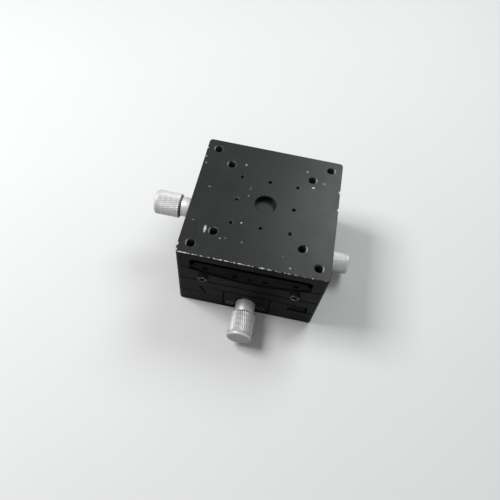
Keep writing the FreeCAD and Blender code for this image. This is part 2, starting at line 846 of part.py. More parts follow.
def hex_socket(name, radius, start, depth):
    prism = bound("Part::Prism", name, Circumradius=radius, Height=depth, Placement_Base_z=start)
    prism.Polygon = 6
    return prism


def put(thing, place, turn):
    thing.Placement = Placement(Vector(), turn)
    for axis, size in zip("xyz", place):
        thing.setExpression("Placement.Base." + axis, as_size(size).text)


def cap_screw(name, core, length, head_radius, head_height, socket):
    head = bound("Part::Cylinder", name + "_head", Radius=head_radius, Height=head_height)
    head.setExpression("Placement.Base.z", (-head_height).text)
    shank = bound("Part::Cylinder", name + "_shank", Radius=core - s.thread_gap, Height=length)
    blank = doc.addObject("Part::Fuse", name + "_blank")
    blank.Base = head
    blank.Tool = shank
    screw = doc.addObject("Part::Cut", name)
    screw.Base = blank
    depth = head_height * s.cap_socket_share
    screw.Tool = hex_socket(name + "_hex", socket, -head_height, depth)
    return screw


def set_screw(name, core, length, socket):
    shank = bound("Part::Cylinder", name + "_shank", Radius=core - s.thread_gap, Height=length)
    screw = doc.addObject("Part::Cut", name)
    screw.Base = shank
    depth = length * s.set_socket_share
    screw.Tool = hex_socket(name + "_hex", socket, length - depth, depth)
    return screw


def group(unit, name, members):
    """Several like fasteners as one node."""
    node = doc.addObject("Part::Compound", "%s_%s" % (unit.name, name))
    node.Links = members
    node.Label = "%s_%s" % (unit.name, name)
    unit.place(node)
    return node


TOWARD_UP = Rotation()
TOWARD_DOWN = Rotation(Vector(1, 0, 0), 180)
TOWARD_FRONT = Rotation(Vector(1, 0, 0), 90)
TOWARD_BACK = Rotation(Vector(1, 0, 0), -90)
ALONG_X = Rotation(Vector(0, 1, 0), 90)


def skirt_screw(unit, name, across):
    """A set screw in the skirt, its tip on the back of the gib."""
    tip = s.gib_back_gap - s.gib_wall
    length = s.half - s.recess_depth - s.gib_screw_sink + tip
    screw = set_screw(name, s.m3_core, length, s.gib_screw_socket)
    put(screw, (across, tip, unit.centre - below_centre(unit, across)), TOWARD_FRONT)
    return screw


def make_gib_screws(unit):
    """Four screws set the play of the gib, and a fifth locks the upper table."""
    screws = []
    for number, across in enumerate(GIB_PLACES):
        screws.append(skirt_screw(unit, "%s_gib_screw_%d" % (unit.name, number), across))
    group(unit, "gib_screws", screws)
    if unit is UPPER:
        group(unit, "lock_screw", [skirt_screw(unit, "lock_screw_0", GIB_MIDDLE)])


def make_sector_screws(unit):
    seat = unit.sector_seat()
    length = s.unit_height - s.sector_screw_cover - seat
    screws = []
    for number, x in enumerate((-s.sector_screw_place, s.sector_screw_place)):
        name = "%s_sector_screw_%d" % (unit.name, number)
        screw = cap_screw(
            name, s.m2_core, length, s.sector_head_radius, s.sector_head_height, s.sector_socket
        )
        put(screw, (x, 0, seat), TOWARD_UP)
        screws.append(screw)
    group(unit, "sector_screws", screws)


def make_block_screws(unit):
    seat = s.block_head_height - s.half
    screws = []
    for number, y in enumerate((-s.block_screw_place, s.block_screw_place)):
        name = "%s_block_screw_%d" % (unit.name, number)
        screw = cap_screw(
            name, s.m2_core, s.block_screw_length, s.block_head_radius, s.block_head_height, s.block_socket
        )
        put(screw, (seat, y, unit.axis - s.block_screw_drop), ALONG_X)
        screws.append(screw)
    group(unit, "block_screws", screws)


def make_knob_screw(unit):
    """Set screw of the hub, pointing down when the unit is level."""
    x = -s.half - s.hub_start - s.knob_screw_inset
    length = s.hub_radius - s.journal_radius - 2 * s.fit_gap
    screw = set_screw("%s_knob_screw_0" % unit.name, s.m25_core, length, s.knob_screw_socket)
    put(screw, (x, 0, unit.axis - s.journal_radius - s.fit_gap), TOWARD_DOWN)
    group(unit, "knob_screw", [screw])


def make_stop_pin(unit):
    """Dowel in the dovetail that meets the ends of the slot in the table's ceiling."""
    foot = unit.centre - unit.crown - s.stop_sink
    length = s.stop_sink + s.stop_rise
    pin = bound("Part::Cylinder", "%s_stop_dowel" % unit.name, Radius=s.stop_radius, Height=length)
    put(pin, (0, s.stop_offset, foot), TOWARD_UP)
    group(unit, "stop_pin", [pin])


def make_stack_screws():
    """Four screws through the upper base into the lower table."""
    length = s.foot_floor + corner_depth(LOWER) - s.stack_tip_gap
    screws = []
    for number, (x, y, radius) in enumerate(square(s.corner_pitch, s.m4_radius)):
        screw = cap_screw(
            "stack_screw_%d" % number, radius, length,
            s.stack_head_radius, s.stack_head_height, s.stack_socket,
        )
        put(screw, (x, y, s.foot_floor), TOWARD_DOWN)
        screws.append(screw)
    group(UPPER, "stacking_screws", screws).Label = "stacking_screws"


def make_side_screws():
    screws = []
    for number, x in enumerate((-s.side_screw_place, s.side_screw_place)):
        screw = cap_screw(
            "side_screw_%d" % number, s.m25_core, s.side_screw_length,
            s.side_head_radius, s.side_head_height, s.side_socket,
        )
        put(screw, (x, -s.half, s.side_screw_rise), TOWARD_BACK)
        screws.append(screw)
    group(UPPER, "side_screws", screws)


# Clamp of the lower unit: pad, stud and knob in line with the middle hole of the skirt


def make_clamp():
    tip = s.gib_wall - s.gib_back_gap
    height = LOWER.centre - LOWER.middle
    pad_piece = bound(
        "Part::Cylinder", "clamp_pad_plug", Radius=s.m3_core - s.thread_gap, Height=s.clamp_pad_length
    )
    put(pad_piece, (0, -tip, height), TOWARD_FRONT)
    group(LOWER, "clamp_pad", [pad_piece])

    stud_start = tip + s.clamp_pad_length
    hub = s.half + s.clamp_hub_start
    grip = hub + s.clamp_hub_length
    end = grip + s.clamp_grip_length
    stud_end = end - s.clamp_stud_end
    stud = bound(
        "Part::Cylinder", "clamp_stud_rod", Radius=s.m3_core - s.thread_gap, Height=stud_end - stud_start
    )
    put(stud, (0, -stud_start, height), TOWARD_FRONT)
    group(LOWER, "clamp_stud", [stud])

    body = new_body(LOWER, "clamp_knob")
    chamfer = s.grip_chamfer
    outline = [
        (s.m3_core, -hub),
        (s.clamp_hub_radius, -hub),
        (s.clamp_hub_radius, -grip),
        (s.clamp_grip_radius - chamfer, -grip),
        (s.clamp_grip_radius, -grip - chamfer),
        (s.clamp_grip_radius, chamfer - end),
        (s.clamp_grip_radius - chamfer, -end),
        (0, -end),
        (0, -stud_end - s.fit_gap),
        (s.m3_core, -stud_end - s.fit_gap),
    ]
    sketch = draw_polygons(body, "outline", "top", [outline], out=height)
    turning = add_feature(body, "Revolution", "turning", sketch)
    turning.ReferenceAxis = (sketch, ["V_Axis"])
    turning.Angle = 360
    doc.recompute()


for unit in (LOWER, UPPER):
    make_table(unit)
    make_base(unit)
    make_gib(unit)
    make_block(unit)
    make_bearings(unit)
    make_knob(unit)
    make_shaft(unit)
    make_sector(unit)
    make_gib_screws(unit)
    make_sector_screws(unit)
    make_block_screws(unit)
    make_knob_screw(unit)
    make_stop_pin(unit)
make_stack_screws()
make_side_screws()
make_clamp()
doc.recompute()

broken = [thing.Label for thing in doc.Objects if "Invalid" in thing.State or "Error" in thing.State]
if broken:
    raise RuntimeError("failed to compute: %s" % ", ".join(broken))

# Every body, group and shape that no other object uses is one node
users = [thing for thing in doc.Objects if thing.TypeId != "PartDesign::Body"]
inside = {member.Name for thing in users for member in thing.OutList}
NODE_TYPES = ("PartDesign::Body", "Part::Compound", "Part::Feature")
nodes = [thing for thing in doc.Objects if thing.TypeId in NODE_TYPES and thing.Name not in inside]
os.makedirs("parts", exist_ok=True)
for node in nodes:
    if node.Shape.isNull() or not node.Shape.isValid() or not node.Shape.Solids:
        raise RuntimeError("bad shape: %s" % node.Label)
    node.Shape.exportStep("parts/%s.step" % node.Label)
    box = node.Shape.BoundBox
    print("%-22s %2d solids %10.1f mm3  x %7.2f %7.2f  y %7.2f %7.2f  z %6.2f %6.2f" % (
        node.Label, len(node.Shape.Solids), node.Shape.Volume,
        box.XMin, box.XMax, box.YMin, box.YMax, box.ZMin, box.ZMax,
    ))
print(len(nodes), "nodes")
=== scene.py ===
import math

import bmesh
import bpy
from mathutils import Matrix, Vector


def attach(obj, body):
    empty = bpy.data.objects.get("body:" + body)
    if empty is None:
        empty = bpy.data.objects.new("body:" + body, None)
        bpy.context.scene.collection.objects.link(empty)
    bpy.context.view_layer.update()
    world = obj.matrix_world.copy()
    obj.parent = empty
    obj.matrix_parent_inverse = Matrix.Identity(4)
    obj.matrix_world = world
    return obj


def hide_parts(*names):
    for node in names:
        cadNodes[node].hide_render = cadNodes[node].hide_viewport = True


# A 60 mm two-axis goniometer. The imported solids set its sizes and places; this file gives the
# looks: worn edges on the plates, knurling on the knobs, sockets and wear on the cap screws.

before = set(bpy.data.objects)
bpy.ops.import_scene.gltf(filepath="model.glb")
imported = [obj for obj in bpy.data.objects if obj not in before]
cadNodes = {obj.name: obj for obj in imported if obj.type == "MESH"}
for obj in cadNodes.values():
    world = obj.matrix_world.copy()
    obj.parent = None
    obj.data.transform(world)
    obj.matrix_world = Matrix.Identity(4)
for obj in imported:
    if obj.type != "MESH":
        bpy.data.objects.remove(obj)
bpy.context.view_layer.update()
scene = bpy.context.scene
mm = 0.001

# How near, in millimetres, a corner or a face has to be to count as on a place
onPlace = 0.02

# Corners closer than this, in millimetres, become one when a turned piece is closed
weldWithin = 0.0001

# Turned pieces look round where their faces meet at less than this angle
roundBelow = 24.0


# Small helpers for modelling


def startWith(piece):
    # Only this piece is selected and active
    bpy.ops.object.select_all(action="DESELECT")
    piece.select_set(True)
    bpy.context.view_layer.objects.active = piece


def editMesh(piece):
    startWith(piece)
    bpy.ops.object.mode_set(mode="EDIT")
    bpy.ops.mesh.select_mode(type="FACE")
    bpy.ops.mesh.select_all(action="DESELECT")


def pickFaces(piece, wanted):
    work = bmesh.from_edit_mesh(piece.data)
    for face in work.faces:
        face.select = wanted(face)
    work.select_flush(True)
    bmesh.update_edit_mesh(piece.data)


def pickEdges(piece, wanted):
    bpy.ops.mesh.select_mode(type="EDGE")
    work = bmesh.from_edit_mesh(piece.data)
    for edge in work.edges:
        edge.select = wanted(edge)
    work.select_flush_mode()
    bmesh.update_edit_mesh(piece.data)


def pickVertices(piece, wanted):
    bpy.ops.mesh.select_mode(type="VERT")
    work = bmesh.from_edit_mesh(piece.data)
    for vertex in work.verts:
        vertex.select = wanted(vertex)
    work.select_flush_mode()
    bmesh.update_edit_mesh(piece.data)


def endFace(level, up=True):
    # The flat face across the axis at this level
    def isEnd(face):
        flat = abs(face.normal.z) > 0.99 and (face.normal.z > 0) == up
        return flat and abs(face.calc_center_median().z - level * mm) < onPlace * mm
    return isEnd


def followOutline(outline):
    # Extrudes the picked end face through (radius, level) steps round the Z axis
    for (radius, level), (nextRadius, nextLevel) in zip(outline, outline[1:]):
        step = (nextLevel - level) * mm
        bpy.ops.mesh.extrude_region_move(TRANSFORM_OT_translate={"value": (0, 0, step)})
        ratio = nextRadius / radius
        bpy.ops.transform.resize(value=(ratio, ratio, 1), center_override=(0, 0, 0))


def bevelRings(piece, rings, width):
    # Breaks the sharp edge of each ring given as (radius, level)
    def onRing(edge):
        return any(
            all(
                abs(math.hypot(v.co.x, v.co.y) - radius * mm) < onPlace * mm
                and abs(v.co.z - level * mm) < onPlace * mm
                for v in edge.verts
            )
            for radius, level in rings
        )
    pickEdges(piece, onRing)
    bpy.ops.mesh.bevel(offset=width * mm, segments=2, affect="EDGES")
    bpy.ops.mesh.select_mode(type="FACE")


def closeAndTurnOut():
    bpy.ops.mesh.select_all(action="SELECT")
    bpy.ops.mesh.remove_doubles(threshold=weldWithin * mm)
    bpy.ops.mesh.normals_make_consistent(inside=False)
    bpy.ops.object.mode_set(mode="OBJECT")


def smoothed(piece, degrees):
    startWith(piece)
    bpy.ops.object.shade_smooth_by_angle(angle=math.radians(degrees))


def cutWith(piece, cutter):
    startWith(piece)
    cut = piece.modifiers.new("cut", "BOOLEAN")
    cut.operation = "DIFFERENCE"
    cut.solver = "EXACT"
    cut.object = cutter
    bpy.ops.object.modifier_apply(modifier=cut.name)
    bpy.data.objects.remove(cutter)


def putOnAxis(piece, place, outward, side):
    # Local Z points out of the plate and local X to the given side
    outward = Vector(outward)
    side = Vector(side)
    turn = Matrix((side, outward.cross(side), outward)).transposed()
    piece.matrix_world = Matrix.Translation(Vector(place) * mm) @ turn.to_4x4()
    startWith(piece)
    bpy.ops.object.transform_apply(location=True, rotation=True, scale=True)


def copyOf(piece, name):
    copy = bpy.data.objects.new(name, piece.data.copy())
    scene.collection.objects.link(copy)
    return copy


# Small helpers for materials


class Recipe:
    # A material whose nodes are added by name and wired as they are made
    # The mix node's colour sockets share their names with others, so they go by number
    mixFirst = 6
    mixSecond = 7
    mixResult = 2

    def __init__(self, name):
        self.material = bpy.data.materials.new(name)
        self.material.use_nodes = True
        self.tree = self.material.node_tree
        self.shader = self.tree.nodes["Principled BSDF"]
        self.place = self.add("ShaderNodeTexCoord").outputs["Object"]

    def add(self, kind, **settings):
        node = self.tree.nodes.new(kind)
        for key, value in settings.items():
            setattr(node, key, value)
        return node

    def wire(self, source, socket):
        if isinstance(source, (int, float, tuple)):
            socket.default_value = source
        else:
            self.tree.links.new(source, socket)

    def maths(self, operation, first, second=0.0, clamp=False):
        node = self.add("ShaderNodeMath", operation=operation, use_clamp=clamp)
        self.wire(first, node.inputs[0])
        self.wire(second, node.inputs[1])
        return node.outputs[0]

    def vector(self, operation, first, second=(0.0, 0.0, 0.0)):
        node = self.add("ShaderNodeVectorMath", operation=operation)
        self.wire(first, node.inputs[0])
        self.wire(second, node.inputs[1])
        single = operation in ("LENGTH", "DISTANCE", "DOT_PRODUCT")
        return node.outputs["Value" if single else "Vector"]

    def axes(self, place=None):
        node = self.add("ShaderNodeSeparateXYZ")
        self.wire(place or self.place, node.inputs[0])
        return node.outputs

    def noise(self, size, detail=2.0, roughness=0.5, stretch=None):
        # size is how far apart the blotches are, in millimetres
        spot = self.vector("MULTIPLY", self.place, stretch) if stretch else self.place
        node = self.add("ShaderNodeTexNoise")
        self.wire(spot, node.inputs["Vector"])
        node.inputs["Scale"].default_value = 1 / (size * mm)
        node.inputs["Detail"].default_value = detail
        node.inputs["Roughness"].default_value = roughness
        return node.outputs["Fac"]

    def lines(self, along, pitch):
        # Fine tool marks: noise that changes only with one distance
        node = self.add("ShaderNodeTexNoise", noise_dimensions="1D")
        self.wire(along, node.inputs["W"])
        node.inputs["Scale"].default_value = 1 / (pitch * mm)
        node.inputs["Detail"].default_value = 3.0
        return node.outputs["Fac"]

    def spread(self, value, low, high, outLow=0.0, outHigh=1.0):
        node = self.add("ShaderNodeMapRange")
        self.wire(value, node.inputs["Value"])
        node.inputs["From Min"].default_value = low
        node.inputs["From Max"].default_value = high
        node.inputs["To Min"].default_value = outLow
        node.inputs["To Max"].default_value = outHigh
        return node.outputs["Result"]

    def between(self, value, low, high, soft):
        # 1 inside the band and 0 outside, with soft ends
        rise = self.spread(value, low - soft, low)
        fall = self.spread(value, high, high + soft, 1.0, 0.0)
        return self.maths("MULTIPLY", rise, fall)

    def mix(self, factor, first, second):
        node = self.add("ShaderNodeMix", data_type="RGBA")
        self.wire(factor, node.inputs["Factor"])
        self.wire(first, node.inputs[self.mixFirst])
        self.wire(second, node.inputs[self.mixSecond])
        return node.outputs[self.mixResult]

    def bump(self, height, depth, under=None):
        # depth is the height of the bumps in millimetres
        node = self.add("ShaderNodeBump")
        node.inputs["Strength"].default_value = 1.0
        node.inputs["Distance"].default_value = depth * mm
        self.wire(height, node.inputs["Height"])
        if under:
            self.wire(under, node.inputs["Normal"])
        return node.outputs["Normal"]

    def finish(self, colour, roughness, normal, metallic=0.0, specular=0.5):
        self.wire(colour, self.shader.inputs["Base Color"])
        self.wire(roughness, self.shader.inputs["Roughness"])
        self.wire(metallic, self.shader.inputs["Metallic"])
        self.wire(specular, self.shader.inputs["Specular IOR Level"])
        self.wire(normal, self.shader.inputs["Normal"])
        return self.material


def grey(level, tint=(0.0, 0.0, 0.0)):
    return tuple(level + shift for shift in tint) + (1.0,)


# Camera


cameraPlace = {
    "position": (2.61, -115.29, 190.93),
    "right": (0.97958903, 0.18378489, 0.08141529),
    "up": (-0.19923406, 0.83399255, 0.51455049),
    "back": (0.02666686, -0.52026872, 0.85358617),
    "lens": 33.18,
    "sensor": 36.0,
    "shiftUp": 0.0014,
}


def addCamera():
    camera = bpy.data.objects.new("camera", bpy.data.cameras.new("camera"))
    scene.collection.objects.link(camera)
    columns = [Vector(cameraPlace[key]) for key in ("right", "up", "back")]
    turn = Matrix(columns).transposed().to_4x4()
    camera.matrix_world = Matrix.Translation(Vector(cameraPlace["position"]) * mm) @ turn
    camera.data.sensor_width = cameraPlace["sensor"]
    camera.data.lens = cameraPlace["lens"]
    camera.data.shift_y = cameraPlace["shiftUp"]
    camera.data.clip_start = 1 * mm
    scene.camera = camera
    print("camera in place")


addCamera()


# Floor and light


studio = {
    "floorSize": 4.0,
    "floorLevel": -0.05,
    "floorGrey": 0.80,
    "floorCloud": 60.0,
    "cloudDepth": 0.012,
    "floorRough": 0.9,
    "floorSpecular": 0.2,
    "bounceGrey": 0.36,
    "backGrey": 0.93,
    "worldStrength": 0.27,
    "seenStrength": 1.0,
    "aimLevel": 25.0,
    "keyPower": 2.5,
    "keySize": 0.22,
    "keyPlace": (-0.36, 0.02, 0.48),
    "sheenPower": 1.25,
    "sheenSize": 0.24,
    "sheenPlace": (0.17, 0.32, 0.46),
    "sheenColour": (0.93, 1.0, 0.985),
}


def addPanel(name, place, size, power, colour=(1.0, 1.0, 1.0)):
    lamp = bpy.data.lights.new(name, "AREA")
    lamp.color = colour
    lamp.shape = "SQUARE"
    lamp.size = size
    lamp.energy = power
    panel = bpy.data.objects.new(name, lamp)
    scene.collection.objects.link(panel)
    panel.location = place
    aim = Vector((0, 0, studio["aimLevel"] * mm)) - Vector(place)
    panel.rotation_euler = aim.to_track_quat("-Z", "Y").to_euler()


def paleRays(tree):
    # One for rays from the camera, from shiny surfaces and through glass, nought for the rest
    path = tree.nodes.new("ShaderNodeLightPath")
    most = path.outputs["Is Camera Ray"]
    for way in ("Is Glossy Ray", "Is Transmission Ray"):
        either = tree.nodes.new("ShaderNodeMath")
        either.operation = "MAXIMUM"
        tree.links.new(most, either.inputs[0])
        tree.links.new(path.outputs[way], either.inputs[1])
        most = either.outputs[0]
    return most


def floorMaterial():
    recipe = Recipe("paleFloor")
    cloud = recipe.noise(studio["floorCloud"], detail=3.0)
    level, depth = studio["floorGrey"], studio["cloudDepth"]
    colour = recipe.mix(cloud, grey(level - depth), grey(level + depth))
    colour = recipe.mix(paleRays(recipe.tree), grey(studio["bounceGrey"]), colour)
    bumps = recipe.bump(recipe.noise(0.8), 0.01)
    return recipe.finish(colour, studio["floorRough"], bumps, specular=studio["floorSpecular"])


def addStudio():
    bpy.ops.mesh.primitive_plane_add(
        size=studio["floorSize"], location=(0, 0, studio["floorLevel"] * mm)
    )
    floor = bpy.context.active_object
    floor.name = "floor"
    floor.data.materials.append(floorMaterial())

    world = bpy.data.worlds.new("paleStudio")
    world.use_nodes = True
    tree = world.node_tree
    scene.world = world
    plain = tree.nodes["Background"]
    plain.inputs["Color"].default_value = grey(studio["backGrey"])
    plain.inputs["Strength"].default_value = studio["worldStrength"]
    seen = tree.nodes.new("ShaderNodeBackground")
    seen.inputs["Color"].default_value = grey(studio["backGrey"])
    seen.inputs["Strength"].default_value = studio["seenStrength"]
    choose = tree.nodes.new("ShaderNodeMixShader")
    tree.links.new(paleRays(tree), choose.inputs["Fac"])
    tree.links.new(plain.outputs[0], choose.inputs[1])
    tree.links.new(seen.outputs[0], choose.inputs[2])
    tree.links.new(choose.outputs[0], tree.nodes["World Output"].inputs["Surface"])

    addPanel("keyPanel", studio["keyPlace"], studio["keySize"], studio["keyPower"])
    addPanel(
        "sheenPanel", studio["sheenPlace"], studio["sheenSize"], studio["sheenPower"],
        studio["sheenColour"],
    )
    scene.view_settings.view_transform = "Standard"
    print("floor and light in place")


addStudio()


# Plates: black anodised aluminium with holes, tool marks and wear


plateFinish = {
    "dark": 0.004,
    "pale": 0.009,
    "sideDark": 0.009,
    "sidePale": 0.017,
    # The recess colours are paler because they hold its gloss as a painted reflection
    "recessDarkPaintedReflection": 0.021,
    "recessPalePaintedReflection": 0.030,
    "tint": (-0.0005, 0.0004, 0.0003),
    "roughLow": 0.31,
    "roughHigh": 0.39,
    "specular": 0.03,
    "topSpecular": 0.27,
    "blotchSize": 14.0,
    "handledSize": 9.0,
    "grainSize": 0.22,
    "grainDepth": 0.0045,
    "toolMarkSize": 0.5,
    "toolMarkDepth": 0.004,
    "dustSize": 0.6,
    "dustGrey": 0.22,
    "dustShare": 0.35,
    "bareMetal": (0.72, 0.72, 0.71, 1.0),
    "bareMetallic": 0.35,
}

# How far a knock reaches below the face, in millimetres
knockDepth = 0.3

# Small knocks on the top face: x, y, half length along x, half length along y, in millimetres,
# and how bare each is
topKnocks = [
    (-11.6, 18.8, 0.6, 0.5, 0.5),
    (-24.2, 3.4, 0.7, 0.25, 0.3),
    (-7.4, 6.4, 0.3, 0.8, 0.3),
    (-7.5, 2.6, 0.4, 0.4, 0.25),
    (-21.2, -17.5, 0.55, 1.7, 1.0),
    (-21.0, -18.4, 0.35, 0.8, 1.0),
    (-7.9, -11.4, 0.4, 0.42, 1.0),
    (-14.6, -20.5, 0.4, 0.35, 0.45),
    (-12.6, -20.0, 0.4, 0.3, 0.25),
    (-6.0, -20.3, 0.5, 0.5, 0.3),
    (18.4, 13.4, 0.6, 0.45, 0.9),
    (15.0, 21.6, 0.5, 0.4, 0.45),
    (22.9, 16.8, 0.6, 0.5, 0.4),
    (14.2, -27.5, 0.6, 0.45, 0.55),
    (10.8, -23.0, 0.45, 0.3, 0.3),
    (-26.8, -14.3, 0.5, 0.35, 0.25),
    (-29.7, 24.5, 0.3, 0.5, 0.8),
    (-29.5, 19.4, 0.4, 0.6, 0.6),
    (-28.6, 15.9, 0.3, 0.5, 0.5),
    (29.8, 13.7, 0.5, 0.9, 1.0),
    (29.9, 4.3, 0.45, 0.7, 1.0),
    (-29.8, -26.5, 0.4, 0.9, 0.8),
    (-29.8, -29.0, 0.5, 0.9, 1.0),
]

tappedRings = {
    "tapPlaces": (25.0, 17.68),
    "tapRadius": 1.65,
    "tapRim": 2.05,
    "threadPitch": 0.7,
    "threadDepth": 0.12,
    "rimSoft": 0.04,
    "rimGrey": 0.3,
    "crescentStart": 1.35,
    "crescentSoft": 0.35,
    "crescentHighlightGrey": 0.45,
    "crescentHighlightShare": 0.7,
    "smallPlaces": ((12.0, 12.0), (12.0, 0.0), (0.0, 12.0)),
    "smallRadius": 0.8,
    "smallRim": 1.0,
}


def knockMask(recipe, level):
    # Where the black coat is knocked off the face at this level
    total = None
    for x, y, halfX, halfY, bareness in topKnocks:
        offset = recipe.vector("SUBTRACT", recipe.place, (x * mm, y * mm, level * mm))
        scaled = recipe.vector("DIVIDE", offset, (halfX * mm, halfY * mm, knockDepth * mm))
        distance = recipe.vector("LENGTH", scaled)
        spot = recipe.spread(distance, 0.6, 1.25, bareness, 0.0)
        total = spot if total is None else recipe.maths("MAXIMUM", total, spot)
    ragged = recipe.spread(recipe.noise(0.55, detail=3.0, roughness=0.7), 0.42, 0.56)
    return recipe.maths("MULTIPLY", total, ragged)


def rubbedMask(recipe, level):
    # Wear that starts at the edges of the top face and thins out within a millimetre
    x, y, z = recipe.axes()
    below = recipe.maths("SUBTRACT", level * mm, z)
    wear = recipe.noise(1.5, detail=5.0, roughness=0.7)
    rightEnd, leftEnd = edgeWear["frontChange"]
    alongFront = recipe.spread(
        x, rightEnd * mm, leftEnd * mm, edgeWear["frontRight"], edgeWear["frontLeft"]
    )
    half = plateSkin["halfSide"] * mm
    sides = [
        (recipe.maths("ADD", y, half), alongFront),
        (recipe.maths("ADD", x, half), edgeWear["sides"]),
        (recipe.maths("SUBTRACT", half, x), edgeWear["sides"]),
        (recipe.maths("SUBTRACT", half, y), edgeWear["back"]),
    ]
    total = None
    for inward, amount in sides:
        away = recipe.maths("DIVIDE", recipe.maths("ADD", inward, below), edgeWear["reach"] * mm)
        rubbed = recipe.maths("SUBTRACT", recipe.maths("ADD", wear, amount), away)
        total = rubbed if total is None else recipe.maths("MAXIMUM", total, rubbed)
    excess = recipe.maths("SUBTRACT", total, edgeWear["threshold"])
    return recipe.maths("MULTIPLY", excess, edgeWear["sharpness"], clamp=True)


def holeDistance(recipe, flatPlace, x, y):
    return recipe.vector("DISTANCE", flatPlace, (x * mm, y * mm, 0.0))


def holeMasks(recipe):
    # The chamfers round the holes, the threaded walls of the larger ones, and the outer sides of their
    # mouths, which get a painted highlight
    folded = recipe.vector("ABSOLUTE", recipe.place)
    flat = recipe.vector("MULTIPLY", folded, (1.0, 1.0, 0.0))
    outward = recipe.axes(folded)[0]
    soft = tappedRings["rimSoft"] * mm
    rims = None
    crescents = None
    walls = None
    for place in tappedRings["tapPlaces"]:
        distance = holeDistance(recipe, flat, place, place)
        low, high = tappedRings["tapRadius"] * mm, tappedRings["tapRim"] * mm
        rim = recipe.between(distance, low + 0.03 * mm, high, soft)
        wall = recipe.spread(distance, low + 0.02 * mm, low + 0.05 * mm, 1.0, 0.0)
        start = (place + tappedRings["crescentStart"]) * mm
        farSide = recipe.spread(outward, start, start + tappedRings["crescentSoft"] * mm)
        crescent = recipe.maths("MULTIPLY", rim, farSide)
        rims = rim if rims is None else recipe.maths("MAXIMUM", rims, rim)
        walls = wall if walls is None else recipe.maths("MAXIMUM", walls, wall)
        crescents = crescent if crescents is None else recipe.maths("MAXIMUM", crescents, crescent)
    for x, y in tappedRings["smallPlaces"]:
        distance = holeDistance(recipe, flat, x, y)
        low, high = tappedRings["smallRadius"] * mm, tappedRings["smallRim"] * mm
        rims = recipe.maths("MAXIMUM", rims, recipe.between(distance, low, high, soft))
    return rims, walls, crescents


def blackAnodise(recipe, darkKey="sideDark", paleKey="sidePale"):
    # Colour, roughness and bumps that every plate shares
    finish = plateFinish
    blotch = recipe.noise(finish["blotchSize"], detail=4.0, roughness=0.6)
    grain = recipe.noise(finish["grainSize"], detail=3.0, roughness=0.7)
    dark = grey(finish[darkKey], finish["tint"])
    pale = grey(finish[paleKey], finish["tint"])
    colour = recipe.mix(recipe.spread(blotch, 0.3, 0.7), dark, pale)
    toolMarks = recipe.noise(finish["toolMarkSize"], detail=2.0, stretch=(0.03, 1.0, 1.0))
    handled = recipe.noise(finish["handledSize"], detail=5.0, roughness=0.65)
    rough = recipe.spread(handled, 0.3, 0.7, finish["roughLow"], finish["roughHigh"])
    bumps = recipe.bump(grain, finish["grainDepth"], recipe.bump(toolMarks, finish["toolMarkDepth"]))
    return colour, rough, bumps


def addDust(recipe, colour):
    specks = recipe.spread(recipe.noise(plateFinish["dustSize"], detail=1.0), 0.74, 0.8)
    share = recipe.maths("MULTIPLY", specks, plateFinish["dustShare"])
    return recipe.mix(share, colour, grey(plateFinish["dustGrey"]))


# Painted shade in the shallow recess: black painted below its lip and down its two ends, where the lip's
# shadow falls
recessShade = {
    "bandFoot": 32.9,
    "bandSoft": 0.2,
    "hookFoot": 30.9,
    "hookStart": 22.7,
    "hookSoft": 0.4,
    "black": 0.0008,
}


def paintedLipShadow(recipe):
    shape = recessShade
    soft, hookSoft = shape["bandSoft"], shape["hookSoft"]
    x, _, z = recipe.axes()
    band = recipe.spread(z, (shape["bandFoot"] - soft) * mm, (shape["bandFoot"] + soft) * mm)
    start = shape["hookStart"] * mm
    atEnds = recipe.spread(recipe.maths("ABSOLUTE", x), start, start + hookSoft * mm)
    high = recipe.spread(z, (shape["hookFoot"] - hookSoft) * mm, (shape["hookFoot"] + hookSoft) * mm)
    return recipe.maths("MAXIMUM", band, recipe.maths("MULTIPLY", atEnds, high))


def recessMaterial(name):
    # Its share of gloss is painted into the colour as a painted reflection, so that the painted shade
    # under the lip stays black
    recipe = Recipe(name)
    colour, rough, bumps = blackAnodise(recipe, "recessDarkPaintedReflection", "recessPalePaintedReflection")
    # Black painted shade under the lip and down the ends
    colour = recipe.mix(paintedLipShadow(recipe), colour, grey(recessShade["black"]))
    return recipe.finish(colour, rough, bumps, 0.0, 0.0)


def plateMaterial(name):
    recipe = Recipe(name)
    colour, rough, bumps = blackAnodise(recipe)
    return recipe.finish(addDust(recipe, colour), rough, bumps, 0.0, plateFinish["specular"])


def topFaceMaterial(name, level):
    # The upper face: glossier, with knocks, rubbed borders, worn hole mouths and a painted highlight on
    # the outer side of the larger ones
    recipe = Recipe(name)
    colour, rough, bumps = blackAnodise(recipe, "dark", "pale")
    colour = addDust(recipe, colour)
    rims, walls, crescents = holeMasks(recipe)
    rimWear = recipe.maths("MULTIPLY", rims, recipe.spread(recipe.noise(1.6), 0.4, 0.7, 0.0, 0.5))
    colour = recipe.mix(rimWear, colour, grey(tappedRings["rimGrey"]))
    # Painted highlight on the outer side of each larger hole mouth
    bright = recipe.maths("MULTIPLY", crescents, tappedRings["crescentHighlightShare"])
    colour = recipe.mix(bright, colour, grey(tappedRings["crescentHighlightGrey"]))
    turns = recipe.maths("MULTIPLY", recipe.axes()[2], 2 * math.pi / (tappedRings["threadPitch"] * mm))
    thread = recipe.maths("MULTIPLY", recipe.maths("SINE", turns), walls)
    bumps = recipe.bump(thread, tappedRings["threadDepth"], bumps)
    bare = recipe.maths("MAXIMUM", knockMask(recipe, level), rubbedMask(recipe, level))
    colour = recipe.mix(bare, colour, plateFinish["bareMetal"])
    metal = recipe.maths("MULTIPLY", bare, plateFinish["bareMetallic"])
    return recipe.finish(colour, rough, bumps, metal, plateFinish["topSpecular"])


